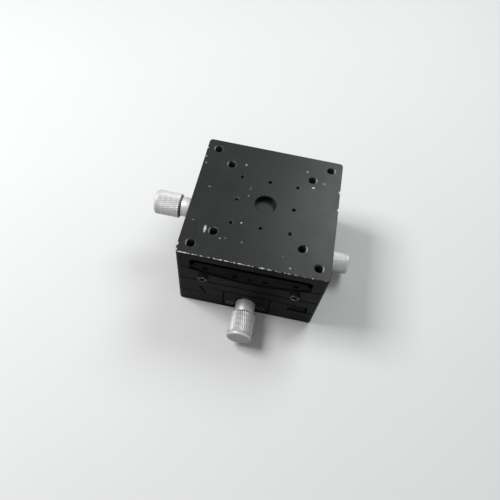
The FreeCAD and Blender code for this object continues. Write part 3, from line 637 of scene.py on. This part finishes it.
edgeWear = {
    "edgeWidth": 0.16,
    "seamWidth": 0.2,
    "flankWidth": 0.42,
    "jointWidth": 0.3,
    "threshold": 0.66,
    "sharpness": 9.0,
    "reach": 1.9,
    "frontLeft": 0.29,
    "frontRight": 0.2,
    "frontChange": (17.0, 4.0),
    "sides": 0.06,
    "back": 0.0,
    "footGrey": 0.3,
    # Colours of the painted shade along the seams
    "seamShadeDark": 0.001,
    "seamShadePale": 0.0035,
    "seamRough": 0.8,
}


def edgeMaterial(name, topLevel):
    # Broken edges, rubbed through to bare metal where hands and tools meet them
    recipe = Recipe(name)
    colour, rough, bumps = blackAnodise(recipe)
    bare = recipe.maths("MAXIMUM", rubbedMask(recipe, topLevel), knockMask(recipe, topLevel))
    colour = recipe.mix(bare, colour, plateFinish["bareMetal"])
    metal = recipe.maths("MULTIPLY", bare, plateFinish["bareMetallic"])
    return recipe.finish(colour, rough, bumps, metal, plateFinish["specular"])


def footEdgeMaterial(name):
    # The lower outline is only rubbed here and there
    recipe = Recipe(name)
    colour, rough, bumps = blackAnodise(recipe)
    rubbed = recipe.spread(recipe.noise(2.2, detail=5.0, roughness=0.7), 0.62, 0.7)
    colour = recipe.mix(rubbed, colour, grey(edgeWear["footGrey"]))
    return recipe.finish(colour, rough, bumps, 0.0, plateFinish["specular"])


def seamMaterial(name):
    # Edges along the guides and between the units are painted near black with no gloss: painted shade of
    # the gaps between the parts
    recipe = Recipe(name)
    seamMottle = recipe.noise(1.8, detail=4.0)
    colour = recipe.mix(seamMottle, grey(edgeWear["seamShadeDark"]), grey(edgeWear["seamShadePale"]))
    bumps = recipe.bump(recipe.noise(0.3), 0.01)
    return recipe.finish(colour, edgeWear["seamRough"], bumps, 0.0, 0.0)


# The rounded square that the plates share, its levels, and what tells its faces apart
plateSkin = {
    "halfSide": 30.0,
    "cornerRadius": 1.5,
    "slack": 0.03,
    "footLevel": 0.0,
    "jointLevel": 20.0,
    "topLevel": 40.0,
    "leastAngle": 35.0,
    "holesAbove": 34.0,
    "holesWithin": 29.1,
    "recessFloor": 29.2,
    "mergeWithin": 0.001,
    "flatWithin": 0.2,
    "smoothBelow": 20.0,
}


def onSkin(point):
    # Whether a point lies on the rounded square
    x, y = abs(point.x) / mm, abs(point.y) / mm
    reach = plateSkin["halfSide"] - plateSkin["cornerRadius"]
    if x > reach and y > reach:
        distance = math.hypot(x - reach, y - reach)
        return distance > plateSkin["cornerRadius"] - plateSkin["slack"]
    return max(x, y) > plateSkin["halfSide"] - plateSkin["slack"]


# The level where each unit's guide seam meets the ends, and which unit has the quarter turn
unitShape = {
    "lower": {"seamAtEnd": 9.6, "turned": True},
    "upper": {"seamAtEnd": 30.7, "turned": False},
}

# Where the flank and the gib's room lie across a unit, seen from its end
guideEnd = {
    "endFace": 29.9,
    "flank": (17.0, 22.0),
    "gibRoom": (-26.4, -17.0),
    "leastSlant": 0.4,
    "aboveSeam": 0.4,
}


def isOuterEdge(edge):
    leastAngle = math.radians(plateSkin["leastAngle"])
    if len(edge.link_faces) != 2 or edge.calc_face_angle(0) < leastAngle:
        return False
    middle = (edge.verts[0].co + edge.verts[1].co) / 2
    return all(onSkin(v.co) for v in edge.verts) and onSkin(middle)


def atLevel(edge, level):
    return all(abs(v.co.z - level * mm) < onPlace * mm for v in edge.verts)


def isGuideEnd(edge, unit):
    # The flank opposite the gib and the outline of the gib's room, on both ends of a unit
    shape = unitShape[unit]
    places = []
    for vertex in edge.verts:
        x, y, z = vertex.co / mm
        if shape["turned"]:
            x, y = y, -x
        places.append((x, y, z))
    if min(abs(x) for x, y, z in places) < guideEnd["endFace"]:
        return False
    y = sum(place[1] for place in places) / 2
    z = sum(place[2] for place in places) / 2
    across = abs(places[0][1] - places[1][1])
    rise = abs(places[0][2] - places[1][2])
    slanted = min(across, rise) > guideEnd["leastSlant"]
    above = z > shape["seamAtEnd"] + guideEnd["aboveSeam"]
    flankLow, flankHigh = guideEnd["flank"]
    roomLow, roomHigh = guideEnd["gibRoom"]
    return above and ((flankLow < y < flankHigh and slanted) or (roomLow < y < roomHigh))


# The order of a plate's materials
plateSlots = {"skin": 0, "edge": 1, "seam": 2, "topFace": 3, "recess": 4}


def breakEdges(plate, wanted, widthName, slotName, clamp=True):
    pickEdges(plate, wanted)
    bpy.ops.mesh.bevel(
        offset=edgeWear[widthName] * mm, segments=2, affect="EDGES",
        clamp_overlap=clamp, material=plateSlots[slotName],
    )


def isOnTop(face):
    # The upper face with the mouths and walls of its holes
    centre = face.calc_center_median() / mm
    within = max(abs(centre.x), abs(centre.y)) < plateSkin["holesWithin"]
    return face.material_index == plateSlots["skin"] and centre.z > plateSkin["holesAbove"] and within


def isRecessFloor(face):
    offset = face.calc_center_median().y / mm + plateSkin["recessFloor"]
    return face.material_index == plateSlots["skin"] and abs(offset) < onPlace


def markFaces(plate, wanted, slotName):
    bpy.ops.mesh.select_mode(type="FACE")
    pickFaces(plate, wanted)
    plate.active_material_index = plateSlots[slotName]
    bpy.ops.object.material_slot_assign()


def dressPlate(nodeName, bodyName, pieceName, materials):
    # A copy of the plate whose outer edges are broken: rubbed where open, with painted shade along the
    # seams
    unit = nodeName.split("_")[0]
    plate = copyOf(cadNodes[nodeName], pieceName)
    plate.data.materials.clear()
    for material in materials:
        plate.data.materials.append(material)
    editMesh(plate)
    bpy.ops.mesh.select_all(action="SELECT")
    bpy.ops.mesh.customdata_custom_splitnormals_clear()
    bpy.ops.mesh.remove_doubles(threshold=plateSkin["mergeWithin"] * mm)
    bpy.ops.mesh.dissolve_limited(angle_limit=math.radians(plateSkin["flatWithin"]))

    def isOpenEdge(edge):
        atEnd = atLevel(edge, plateSkin["topLevel"]) or atLevel(edge, plateSkin["footLevel"])
        return isOuterEdge(edge) and atEnd

    def isJoint(edge):
        return isOuterEdge(edge) and atLevel(edge, plateSkin["jointLevel"])

    def isSeam(edge):
        return isOuterEdge(edge) and not isOpenEdge(edge) and not isJoint(edge)

    def isFlank(edge):
        return isSeam(edge) and isGuideEnd(edge, unit)

    def isPlainSeam(edge):
        return isSeam(edge) and not isGuideEnd(edge, unit)

    breakEdges(plate, isJoint, "jointWidth", "seam", clamp=False)
    breakEdges(plate, isFlank, "flankWidth", "seam", clamp=False)
    breakEdges(plate, isPlainSeam, "seamWidth", "seam")
    breakEdges(plate, isOpenEdge, "edgeWidth", "edge")
    if nodeName == "upper_table":
        markFaces(plate, isOnTop, "topFace")
        markFaces(plate, isRecessFloor, "recess")
    bpy.ops.object.mode_set(mode="OBJECT")
    smoothed(plate, plateSkin["smoothBelow"])
    even = plate.modifiers.new("even", "WEIGHTED_NORMAL")
    even.keep_sharp = True
    bpy.ops.object.modifier_apply(modifier=even.name)
    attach(plate, bodyName)
    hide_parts(nodeName)
    print("plate dressed:", pieceName, len(plate.data.polygons), "faces")


seamBlack = seamMaterial("greasySeam")
plainBlack = plateMaterial("blackPlate")
topMaterials = [
    plainBlack,
    edgeMaterial("wornTopEdge", plateSkin["topLevel"]),
    seamBlack,
    topFaceMaterial("blackTopFace", plateSkin["topLevel"]),
    recessMaterial("greasyRecess"),
]
plateMaterials = [plainBlack, footEdgeMaterial("wornFootEdge"), seamBlack]

dressPlate("upper_table", "tabletop", "upperTable", topMaterials)
for nodeName, bodyName, pieceName in (
    ("upper_base", "carriage", "upperBase"),
    ("lower_table", "carriage", "lowerTable"),
    ("lower_base", "foot", "lowerBase"),
    ("upper_bearing_block", "carriage", "upperBearingBlock"),
    ("lower_bearing_block", "foot", "lowerBearingBlock"),
):
    dressPlate(nodeName, bodyName, pieceName, plateMaterials)


# Knobs: a smooth hub, a diamond knurled grip and a dished end, and a groove on the worm knobs


knobShape = {
    "sides": 76,
    "hubRadius": 4.25,
    "hubLength": 5.0,
    "grooveRadius": 3.8,
    "grooveLength": 0.4,
    "gripRadius": 5.3,
    "gripLength": 11.0,
    "gripChamfer": 0.5,
    "knurlRings": 4,
    "knurlEnd": 9.7,
    "runOut": 0.3,
    "knurlDepth": 0.2,
    "landShare": 24.0,
    "ringSlack": 0.05,
    "plainInset": 0.02,
    "boreRadius": 2.01,
    "endWall": 3.5,
    "dishEdge": 0.4,
    "dishWall": 0.6,
    "endDish": 0.06,
    "hubEdge": 0.25,
    "fineEdge": 0.07,
    "screwHoleSides": 24,
    "screwHoleRadius": 1.02,
    "screwHoleInset": 2.2,
    "screwHoleMiddle": 4.1,
    "screwHoleLength": 4.0,
}

clampShape = {
    "sides": 72,
    "hubRadius": 3.0,
    "hubLength": 2.9,
    "grooveLength": 0.0,
    "gripRadius": 4.9,
    "gripLength": 9.0,
    "gripChamfer": 0.5,
    "knurlRings": 4,
    "knurlEnd": 7.7,
    "runOut": 0.3,
    "knurlDepth": 0.14,
    "landShare": 24.0,
    "ringSlack": 0.05,
    "plainInset": 0.02,
    "boreRadius": 1.25,
    "endWall": 2.49,
    "dishEdge": 0.4,
    "dishWall": 0.6,
    "endDish": 0.06,
    "bothEdges": 0.1,
}


def knurl(piece, shape, levels):
    # Every other corner of the rings is pushed in, which leaves crossed valleys round the grip
    sides, radius, slack = shape["sides"], shape["gripRadius"], shape["ringSlack"]

    def cornerOf(vertex):
        near = [n for n, level in enumerate(levels) if abs(vertex.co.z - level * mm) < slack * mm]
        if not near or math.hypot(vertex.co.x, vertex.co.y) < (radius - slack) * mm:
            return None
        turn = round(math.atan2(vertex.co.y, vertex.co.x) / (2 * math.pi / sides))
        return near[0], turn

    def isValley(vertex):
        corner = cornerOf(vertex)
        return corner is not None and (corner[0] + corner[1]) % 2 == 1

    def isPeak(vertex):
        corner = cornerOf(vertex)
        inner = corner is not None and 0 < corner[0] < len(levels) - 1
        return inner and (corner[0] + corner[1]) % 2 == 0

    pickVertices(piece, isValley)
    ratio = (radius - shape["knurlDepth"]) / radius
    bpy.ops.transform.resize(value=(ratio, ratio, 1), center_override=(0, 0, 0))
    bpy.ops.mesh.select_mode(type="FACE")

    def isKnurled(face):
        level = face.calc_center_median().z / mm
        outward = abs(face.normal.z) < 0.5
        return outward and levels[0] < level < levels[-1] and len(face.verts) == 4

    pickFaces(piece, isKnurled)
    bpy.ops.mesh.quads_convert_to_tris(quad_method="SHORTEST_DIAGONAL")
    pickVertices(piece, isPeak)
    bpy.ops.mesh.bevel(
        offset_type="PERCENT", offset_pct=shape["landShare"], affect="VERTICES", segments=1
    )
    bpy.ops.mesh.select_mode(type="FACE")


def makeKnob(shape):
    # Points along +Z, with the foot of its hub at the origin
    hubRadius, gripRadius = shape["hubRadius"], shape["gripRadius"]
    hub = shape["hubLength"]
    grip = hub + shape["grooveLength"]
    end = grip + shape["gripLength"]
    chamfer = shape["gripChamfer"]
    bpy.ops.mesh.primitive_cylinder_add(
        vertices=shape["sides"], radius=hubRadius * mm, depth=hub * mm, location=(0, 0, hub / 2 * mm)
    )
    knob = bpy.context.active_object
    bpy.ops.object.transform_apply(location=True)
    editMesh(knob)
    pickFaces(knob, endFace(hub))
    first = grip + chamfer
    step = (shape["knurlEnd"] - chamfer) / shape["knurlRings"]
    levels = [first + step * ring for ring in range(shape["knurlRings"] + 1)]
    plain = gripRadius - shape["plainInset"]
    outline = [(hubRadius, hub)]
    if shape["grooveLength"]:
        outline += [(shape["grooveRadius"], hub), (shape["grooveRadius"], grip)]
    outline += [(gripRadius - chamfer, grip)]
    outline += [(gripRadius, level) for level in levels]
    outline += [
        (plain, levels[-1] + shape["runOut"]),
        (plain, end - chamfer),
        (gripRadius - chamfer, end),
        (gripRadius - chamfer - shape["dishEdge"], end),
        (gripRadius - chamfer - shape["dishWall"], end - shape["endDish"]),
    ]
    followOutline(outline)
    knurl(knob, shape, levels)
    pickFaces(knob, endFace(0, up=False))
    bore = shape["boreRadius"]
    followOutline([(hubRadius, 0), (bore, 0), (bore, end - shape["endWall"])])
    if shape["grooveLength"]:
        bevelRings(knob, [(hubRadius, 0)], shape["hubEdge"])
        fine = [(hubRadius, hub), (gripRadius - chamfer, end), (bore, 0), (plain, end - chamfer)]
        bevelRings(knob, fine, shape["fineEdge"])
    else:
        bevelRings(knob, [(hubRadius, 0), (gripRadius - chamfer, end)], shape["bothEdges"])
    closeAndTurnOut()
    if "screwHoleRadius" in shape:
        bpy.ops.mesh.primitive_cylinder_add(
            vertices=shape["screwHoleSides"], radius=shape["screwHoleRadius"] * mm,
            depth=shape["screwHoleLength"] * mm,
            location=(shape["screwHoleMiddle"] * mm, 0, shape["screwHoleInset"] * mm),
            rotation=(0, math.pi / 2, 0),
        )
        cutWith(knob, bpy.context.active_object)
    smoothed(knob, roundBelow)
    return knob


knobFinish = {
    "pale": 0.64,
    "dull": 0.54,
    "valley": 0.34,
    "endFace": 0.36,
    "groove": 0.05,
    "grooveBelow": (3.95, 4.2),
    "grooveSlack": 0.02,
    "grooveSoft": 0.03,
    "landBelow": 0.09,
    "gripShift": 0.1,
    "gripSoft": 0.15,
    "endFrom": 0.05,
    "endFull": 0.02,
    "cloudSize": 5.0,
    "dirtSize": 1.5,
    "dirtShare": 0.6,
    "turnedPitch": 0.12,
    "turnedDepth": 0.004,
    "grainSize": 0.12,
    "grainDepth": 0.002,
    "roughLow": 0.42,
    "roughHigh": 0.56,
    "metallic": 0.55,
}


def knobMaterial(name, shape, place, outward):
    # Bead-blasted silver anodise; dirt sits in the valleys of the knurl, and the groove is painted dark
    # as painted shade
    recipe = Recipe(name)
    finish = knobFinish
    axis = Vector(outward)
    offset = recipe.vector("SUBTRACT", recipe.place, tuple(Vector(place) * mm))
    along = recipe.vector("DOT_PRODUCT", offset, tuple(axis))
    across = tuple(1.0 - abs(part) for part in axis)
    radius = recipe.vector("LENGTH", recipe.vector("MULTIPLY", offset, across))
    cloudy = recipe.noise(finish["cloudSize"], detail=4.0, roughness=0.6)
    colour = recipe.mix(cloudy, grey(finish["dull"]), grey(finish["pale"]))

    top = shape["gripRadius"]
    hub = shape["hubLength"]
    grip = hub + shape["grooveLength"]
    floor, land = (top - shape["knurlDepth"]) * mm, (top - finish["landBelow"]) * mm
    valley = recipe.spread(radius, floor, land, 1.0, 0.0)
    gripStart = grip + finish["gripShift"]
    gripEnd = gripStart + shape["knurlEnd"]
    inGrip = recipe.between(along, gripStart * mm, gripEnd * mm, finish["gripSoft"] * mm)
    dirt = recipe.maths("MULTIPLY", recipe.maths("MULTIPLY", valley, inGrip), finish["dirtShare"])
    patchy = recipe.spread(recipe.noise(finish["dirtSize"]), 0.2, 0.6, 0.6, 1.0)
    colour = recipe.mix(recipe.maths("MULTIPLY", dirt, patchy), colour, grey(finish["valley"]))
    # The end face is painted darker: partly a duller turned face, partly painted shade
    end = (grip + shape["gripLength"] - shape["endDish"]) * mm
    onEnd = recipe.spread(along, end - finish["endFrom"] * mm, end - finish["endFull"] * mm)
    colour = recipe.mix(onEnd, colour, grey(finish["endFace"]))
    # Painted shade in the groove between hub and grip
    slack, soft = finish["grooveSlack"], finish["grooveSoft"]
    inGroove = recipe.between(along, (hub - slack) * mm, (grip + slack) * mm, soft * mm)
    deep, shallow = finish["grooveBelow"]
    low = recipe.spread(radius, deep * mm, shallow * mm, 1.0, 0.0)
    colour = recipe.mix(recipe.maths("MULTIPLY", inGroove, low), colour, grey(finish["groove"]))

    turned = recipe.lines(recipe.maths("ADD", along, radius), finish["turnedPitch"])
    grain = recipe.noise(finish["grainSize"], detail=2.0)
    rough = recipe.spread(turned, 0.3, 0.7, finish["roughLow"], finish["roughHigh"])
    bumps = recipe.bump(grain, finish["grainDepth"], recipe.bump(turned, finish["turnedDepth"]))
    return recipe.finish(colour, rough, bumps, finish["metallic"], 0.5)


def placeKnob(piece, nodeName, bodyName, name, shape, place, outward, side):
    knob = copyOf(piece, name)
    putOnAxis(knob, place, outward, side)
    knob.data.materials.append(knobMaterial(name + "Silver", shape, place, outward))
    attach(knob, bodyName)
    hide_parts(nodeName)
    print("knob in place:", name, len(knob.data.polygons), "faces")


wormKnob = makeKnob(knobShape)
placeKnob(
    wormKnob, "upper_knob", "upper_drive", "upperKnob", knobShape,
    place=(-30.45, 0, 27.0), outward=(-1, 0, 0), side=(0, 0, -1),
)
placeKnob(
    wormKnob, "lower_knob", "lower_drive", "lowerKnob", knobShape,
    place=(0, -30.45, 7.8), outward=(0, -1, 0), side=(0, 0, -1),
)
bpy.data.objects.remove(wormKnob)
clampKnob = makeKnob(clampShape)
placeKnob(
    clampKnob, "lower_clamp_knob", "clamp_handle", "clampKnob", clampShape,
    place=(30.6, 0, 7.55), outward=(1, 0, 0), side=(0, 0, -1),
)
bpy.data.objects.remove(clampKnob)


# Cap screws in the front of the upper unit


capScrew = {
    "sides": 48,
    "headRadius": 2.15,
    "headHeight": 1.3,
    "foot": 0.08,
    "footRise": 0.1,
    "fluteStart": 0.25,
    "fluteRunOut": 0.15,
    "rim": 0.2,
    "rimInset": 0.06,
    "knurlDepth": 0.07,
    "shankRadius": 1.0,
    "shankLength": 5.0,
    "hexRadius": 1.15,
    "hexDepth": 0.78,
    "places": (-19.1, 19.1),
    "level": 23.5,
    "face": -30.0,
    "hexWear": (0.95, 1.38),
    "headWear": (1.85, 2.1),
    "wearSoft": 0.08,
    "wornFace": (-31.0, -31.2),
    "wornGrey": 0.6,
    "oxideDark": 0.008,
    "oxidePale": 0.02,
    "rough": 0.4,
    "specular": 0.15,
}


def makeCapScrew():
    shape = capScrew
    radius, head, rim = shape["headRadius"], shape["headHeight"], shape["rim"]
    bpy.ops.mesh.primitive_cylinder_add(
        vertices=shape["sides"], radius=shape["shankRadius"] * mm, depth=shape["shankLength"] * mm,
        location=(0, 0, -shape["shankLength"] / 2 * mm),
    )
    screw = bpy.context.active_object
    bpy.ops.object.transform_apply(location=True)
    editMesh(screw)
    pickFaces(screw, endFace(0))
    followOutline([
        (shape["shankRadius"], 0),
        (radius - shape["foot"], 0),
        (radius, shape["footRise"]),
        (radius, shape["fluteStart"]),
        (radius, head - rim - shape["fluteRunOut"]),
        (radius, head - rim),
        (radius - shape["rimInset"], head - rim / 2),
        (radius - rim, head),
    ])

    def isFlute(vertex):
        onSide = 0.2 * mm < vertex.co.z < (head - rim - 0.1) * mm
        turn = round(math.atan2(vertex.co.y, vertex.co.x) / (2 * math.pi / shape["sides"]))
        return onSide and turn % 2 == 1

    pickVertices(screw, isFlute)
    ratio = 1 - shape["knurlDepth"] / radius
    bpy.ops.transform.resize(value=(ratio, ratio, 1), center_override=(0, 0, 0))
    bpy.ops.mesh.select_mode(type="FACE")
    closeAndTurnOut()
    bpy.ops.mesh.primitive_cylinder_add(
        vertices=6, radius=shape["hexRadius"] * mm, depth=2 * shape["hexDepth"] * mm,
        location=(0, 0, head * mm),
    )
    cutWith(screw, bpy.context.active_object)
    smoothed(screw, roundBelow)
    return screw


def capScrewMaterial():
    # Black oxide, rubbed bright in flecks round the hex and on the head's rim
    recipe = Recipe("blackOxideCapScrew")
    shape = capScrew
    soft = shape["wearSoft"] * mm
    folded = recipe.vector("ABSOLUTE", recipe.place)
    centre = (shape["places"][1] * mm, 0.0, shape["level"] * mm)
    offset = recipe.vector("SUBTRACT", folded, centre)
    radius = recipe.vector("LENGTH", recipe.vector("MULTIPLY", offset, (1.0, 0.0, 1.0)))
    inside, outside = shape["wornFace"]
    outer = recipe.spread(recipe.axes()[1], inside * mm, outside * mm)
    low, high = shape["hexWear"]
    hexRim = recipe.between(radius, low * mm, high * mm, soft)
    low, high = shape["headWear"]
    headRim = recipe.between(radius, low * mm, high * mm, soft)
    flecks = recipe.spread(recipe.noise(1.3, detail=4.0, roughness=0.75), 0.54, 0.64)
    worn = recipe.maths("MAXIMUM", hexRim, recipe.maths("MULTIPLY", headRim, 0.6))
    worn = recipe.maths("MULTIPLY", recipe.maths("MULTIPLY", worn, outer), flecks)
    black = recipe.mix(recipe.noise(0.9, detail=3.0), grey(shape["oxideDark"]), grey(shape["oxidePale"]))
    colour = recipe.mix(worn, black, grey(shape["wornGrey"]))
    metal = recipe.maths("MULTIPLY", worn, 0.5)
    bumps = recipe.bump(recipe.noise(0.15), 0.004)
    return recipe.finish(colour, shape["rough"], bumps, metal, shape["specular"])


screwBlank = makeCapScrew()
screwBlack = capScrewMaterial()
for screwNumber, across in enumerate(capScrew["places"]):
    screwPiece = copyOf(screwBlank, "sideScrew%d" % screwNumber)
    putOnAxis(screwPiece, (across, capScrew["face"], capScrew["level"]), (0, -1, 0), (0, 0, -1))
    screwPiece.data.materials.append(screwBlack)
    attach(screwPiece, "carriage")
    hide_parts("upper_side_screws")
bpy.data.objects.remove(screwBlank)
print("cap screws in place")


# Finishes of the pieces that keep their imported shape


innerFinish = {
    "oxideDark": 0.022,
    "oxidePale": 0.05,
    "oxideRubbed": 0.35,
    "steelDark": (0.5, 0.5, 0.504, 1.0),
    "steelPale": (0.6, 0.6, 0.606, 1.0),
    "steelMarks": 0.1,
    "brassDark": (0.55, 0.4, 0.16, 1.0),
    "brassPale": (0.66, 0.5, 0.22, 1.0),
    "brassMarks": 0.14,
    "slidGrey": 0.12,
}


def blackOxide():
    recipe = Recipe("blackOxideSteel")
    dark, pale = grey(innerFinish["oxideDark"]), grey(innerFinish["oxidePale"])
    colour = recipe.mix(recipe.noise(1.2, detail=4.0), dark, pale)
    rubbed = recipe.spread(recipe.noise(0.8, detail=4.0, roughness=0.7), 0.66, 0.74)
    share = recipe.maths("MULTIPLY", rubbed, 0.6)
    colour = recipe.mix(share, colour, grey(innerFinish["oxideRubbed"]))
    rough = recipe.spread(recipe.noise(2.0), 0.3, 0.7, 0.32, 0.46)
    return recipe.finish(colour, rough, recipe.bump(recipe.noise(0.15), 0.003), 0.5)


def turnedMetal(name, cloudSize, dark, pale, markPitch, roughLow, roughHigh):
    # Bare metal with fine turning marks
    recipe = Recipe(name)
    colour = recipe.mix(recipe.noise(cloudSize, detail=4.0), dark, pale)
    x, y, _ = recipe.axes()
    marks = recipe.lines(recipe.maths("ADD", x, y), markPitch)
    rough = recipe.spread(marks, 0.3, 0.7, roughLow, roughHigh)
    return recipe.finish(colour, rough, recipe.bump(marks, 0.002), 1.0)


def groundSteel():
    dark, pale = innerFinish["steelDark"], innerFinish["steelPale"]
    return turnedMetal("groundSteel", 2.5, dark, pale, innerFinish["steelMarks"], 0.2, 0.34)


def turnedBrass():
    dark, pale = innerFinish["brassDark"], innerFinish["brassPale"]
    return turnedMetal("turnedBrass", 3.0, dark, pale, innerFinish["brassMarks"], 0.24, 0.38)


def blackGib():
    # The strip slides on its faces, which wears them a little
    recipe = Recipe("blackGibStrip")
    colour, rough, bumps = blackAnodise(recipe)
    slid = recipe.spread(recipe.noise(6.0, detail=4.0, stretch=(0.2, 0.2, 1.0)), 0.5, 0.75)
    colour = recipe.mix(recipe.maths("MULTIPLY", slid, 0.3), colour, grey(innerFinish["slidGrey"]))
    return recipe.finish(colour, rough, bumps, 0.0, plateFinish["specular"])


nodeFinishes = [
    (blackOxide(), ["gib_screws", "sector_screws", "block_screws", "knob_screw"]),
    (groundSteel(), ["worm_shaft", "thrust_washer", "knob_washer", "stop_pin"]),
    (turnedBrass(), ["sector", "front_bush", "rear_bush"]),
    (blackGib(), ["gib"]),
]
singleFinishes = {
    "upper_lock_screw": "blackOxideSteel",
    "stacking_screws": "blackOxideSteel",
    "lower_clamp_pad": "turnedBrass",
    "lower_clamp_stud": "groundSteel",
}


def giveFinish(nodeName, material):
    for slot in cadNodes[nodeName].material_slots:
        slot.link = "OBJECT"
        slot.material = material


for material, endings in nodeFinishes:
    for unit in ("lower", "upper"):
        for ending in endings:
            giveFinish("%s_%s" % (unit, ending), material)
for nodeName, materialName in singleFinishes.items():
    giveFinish(nodeName, bpy.data.materials[materialName])
print("inner pieces finished")
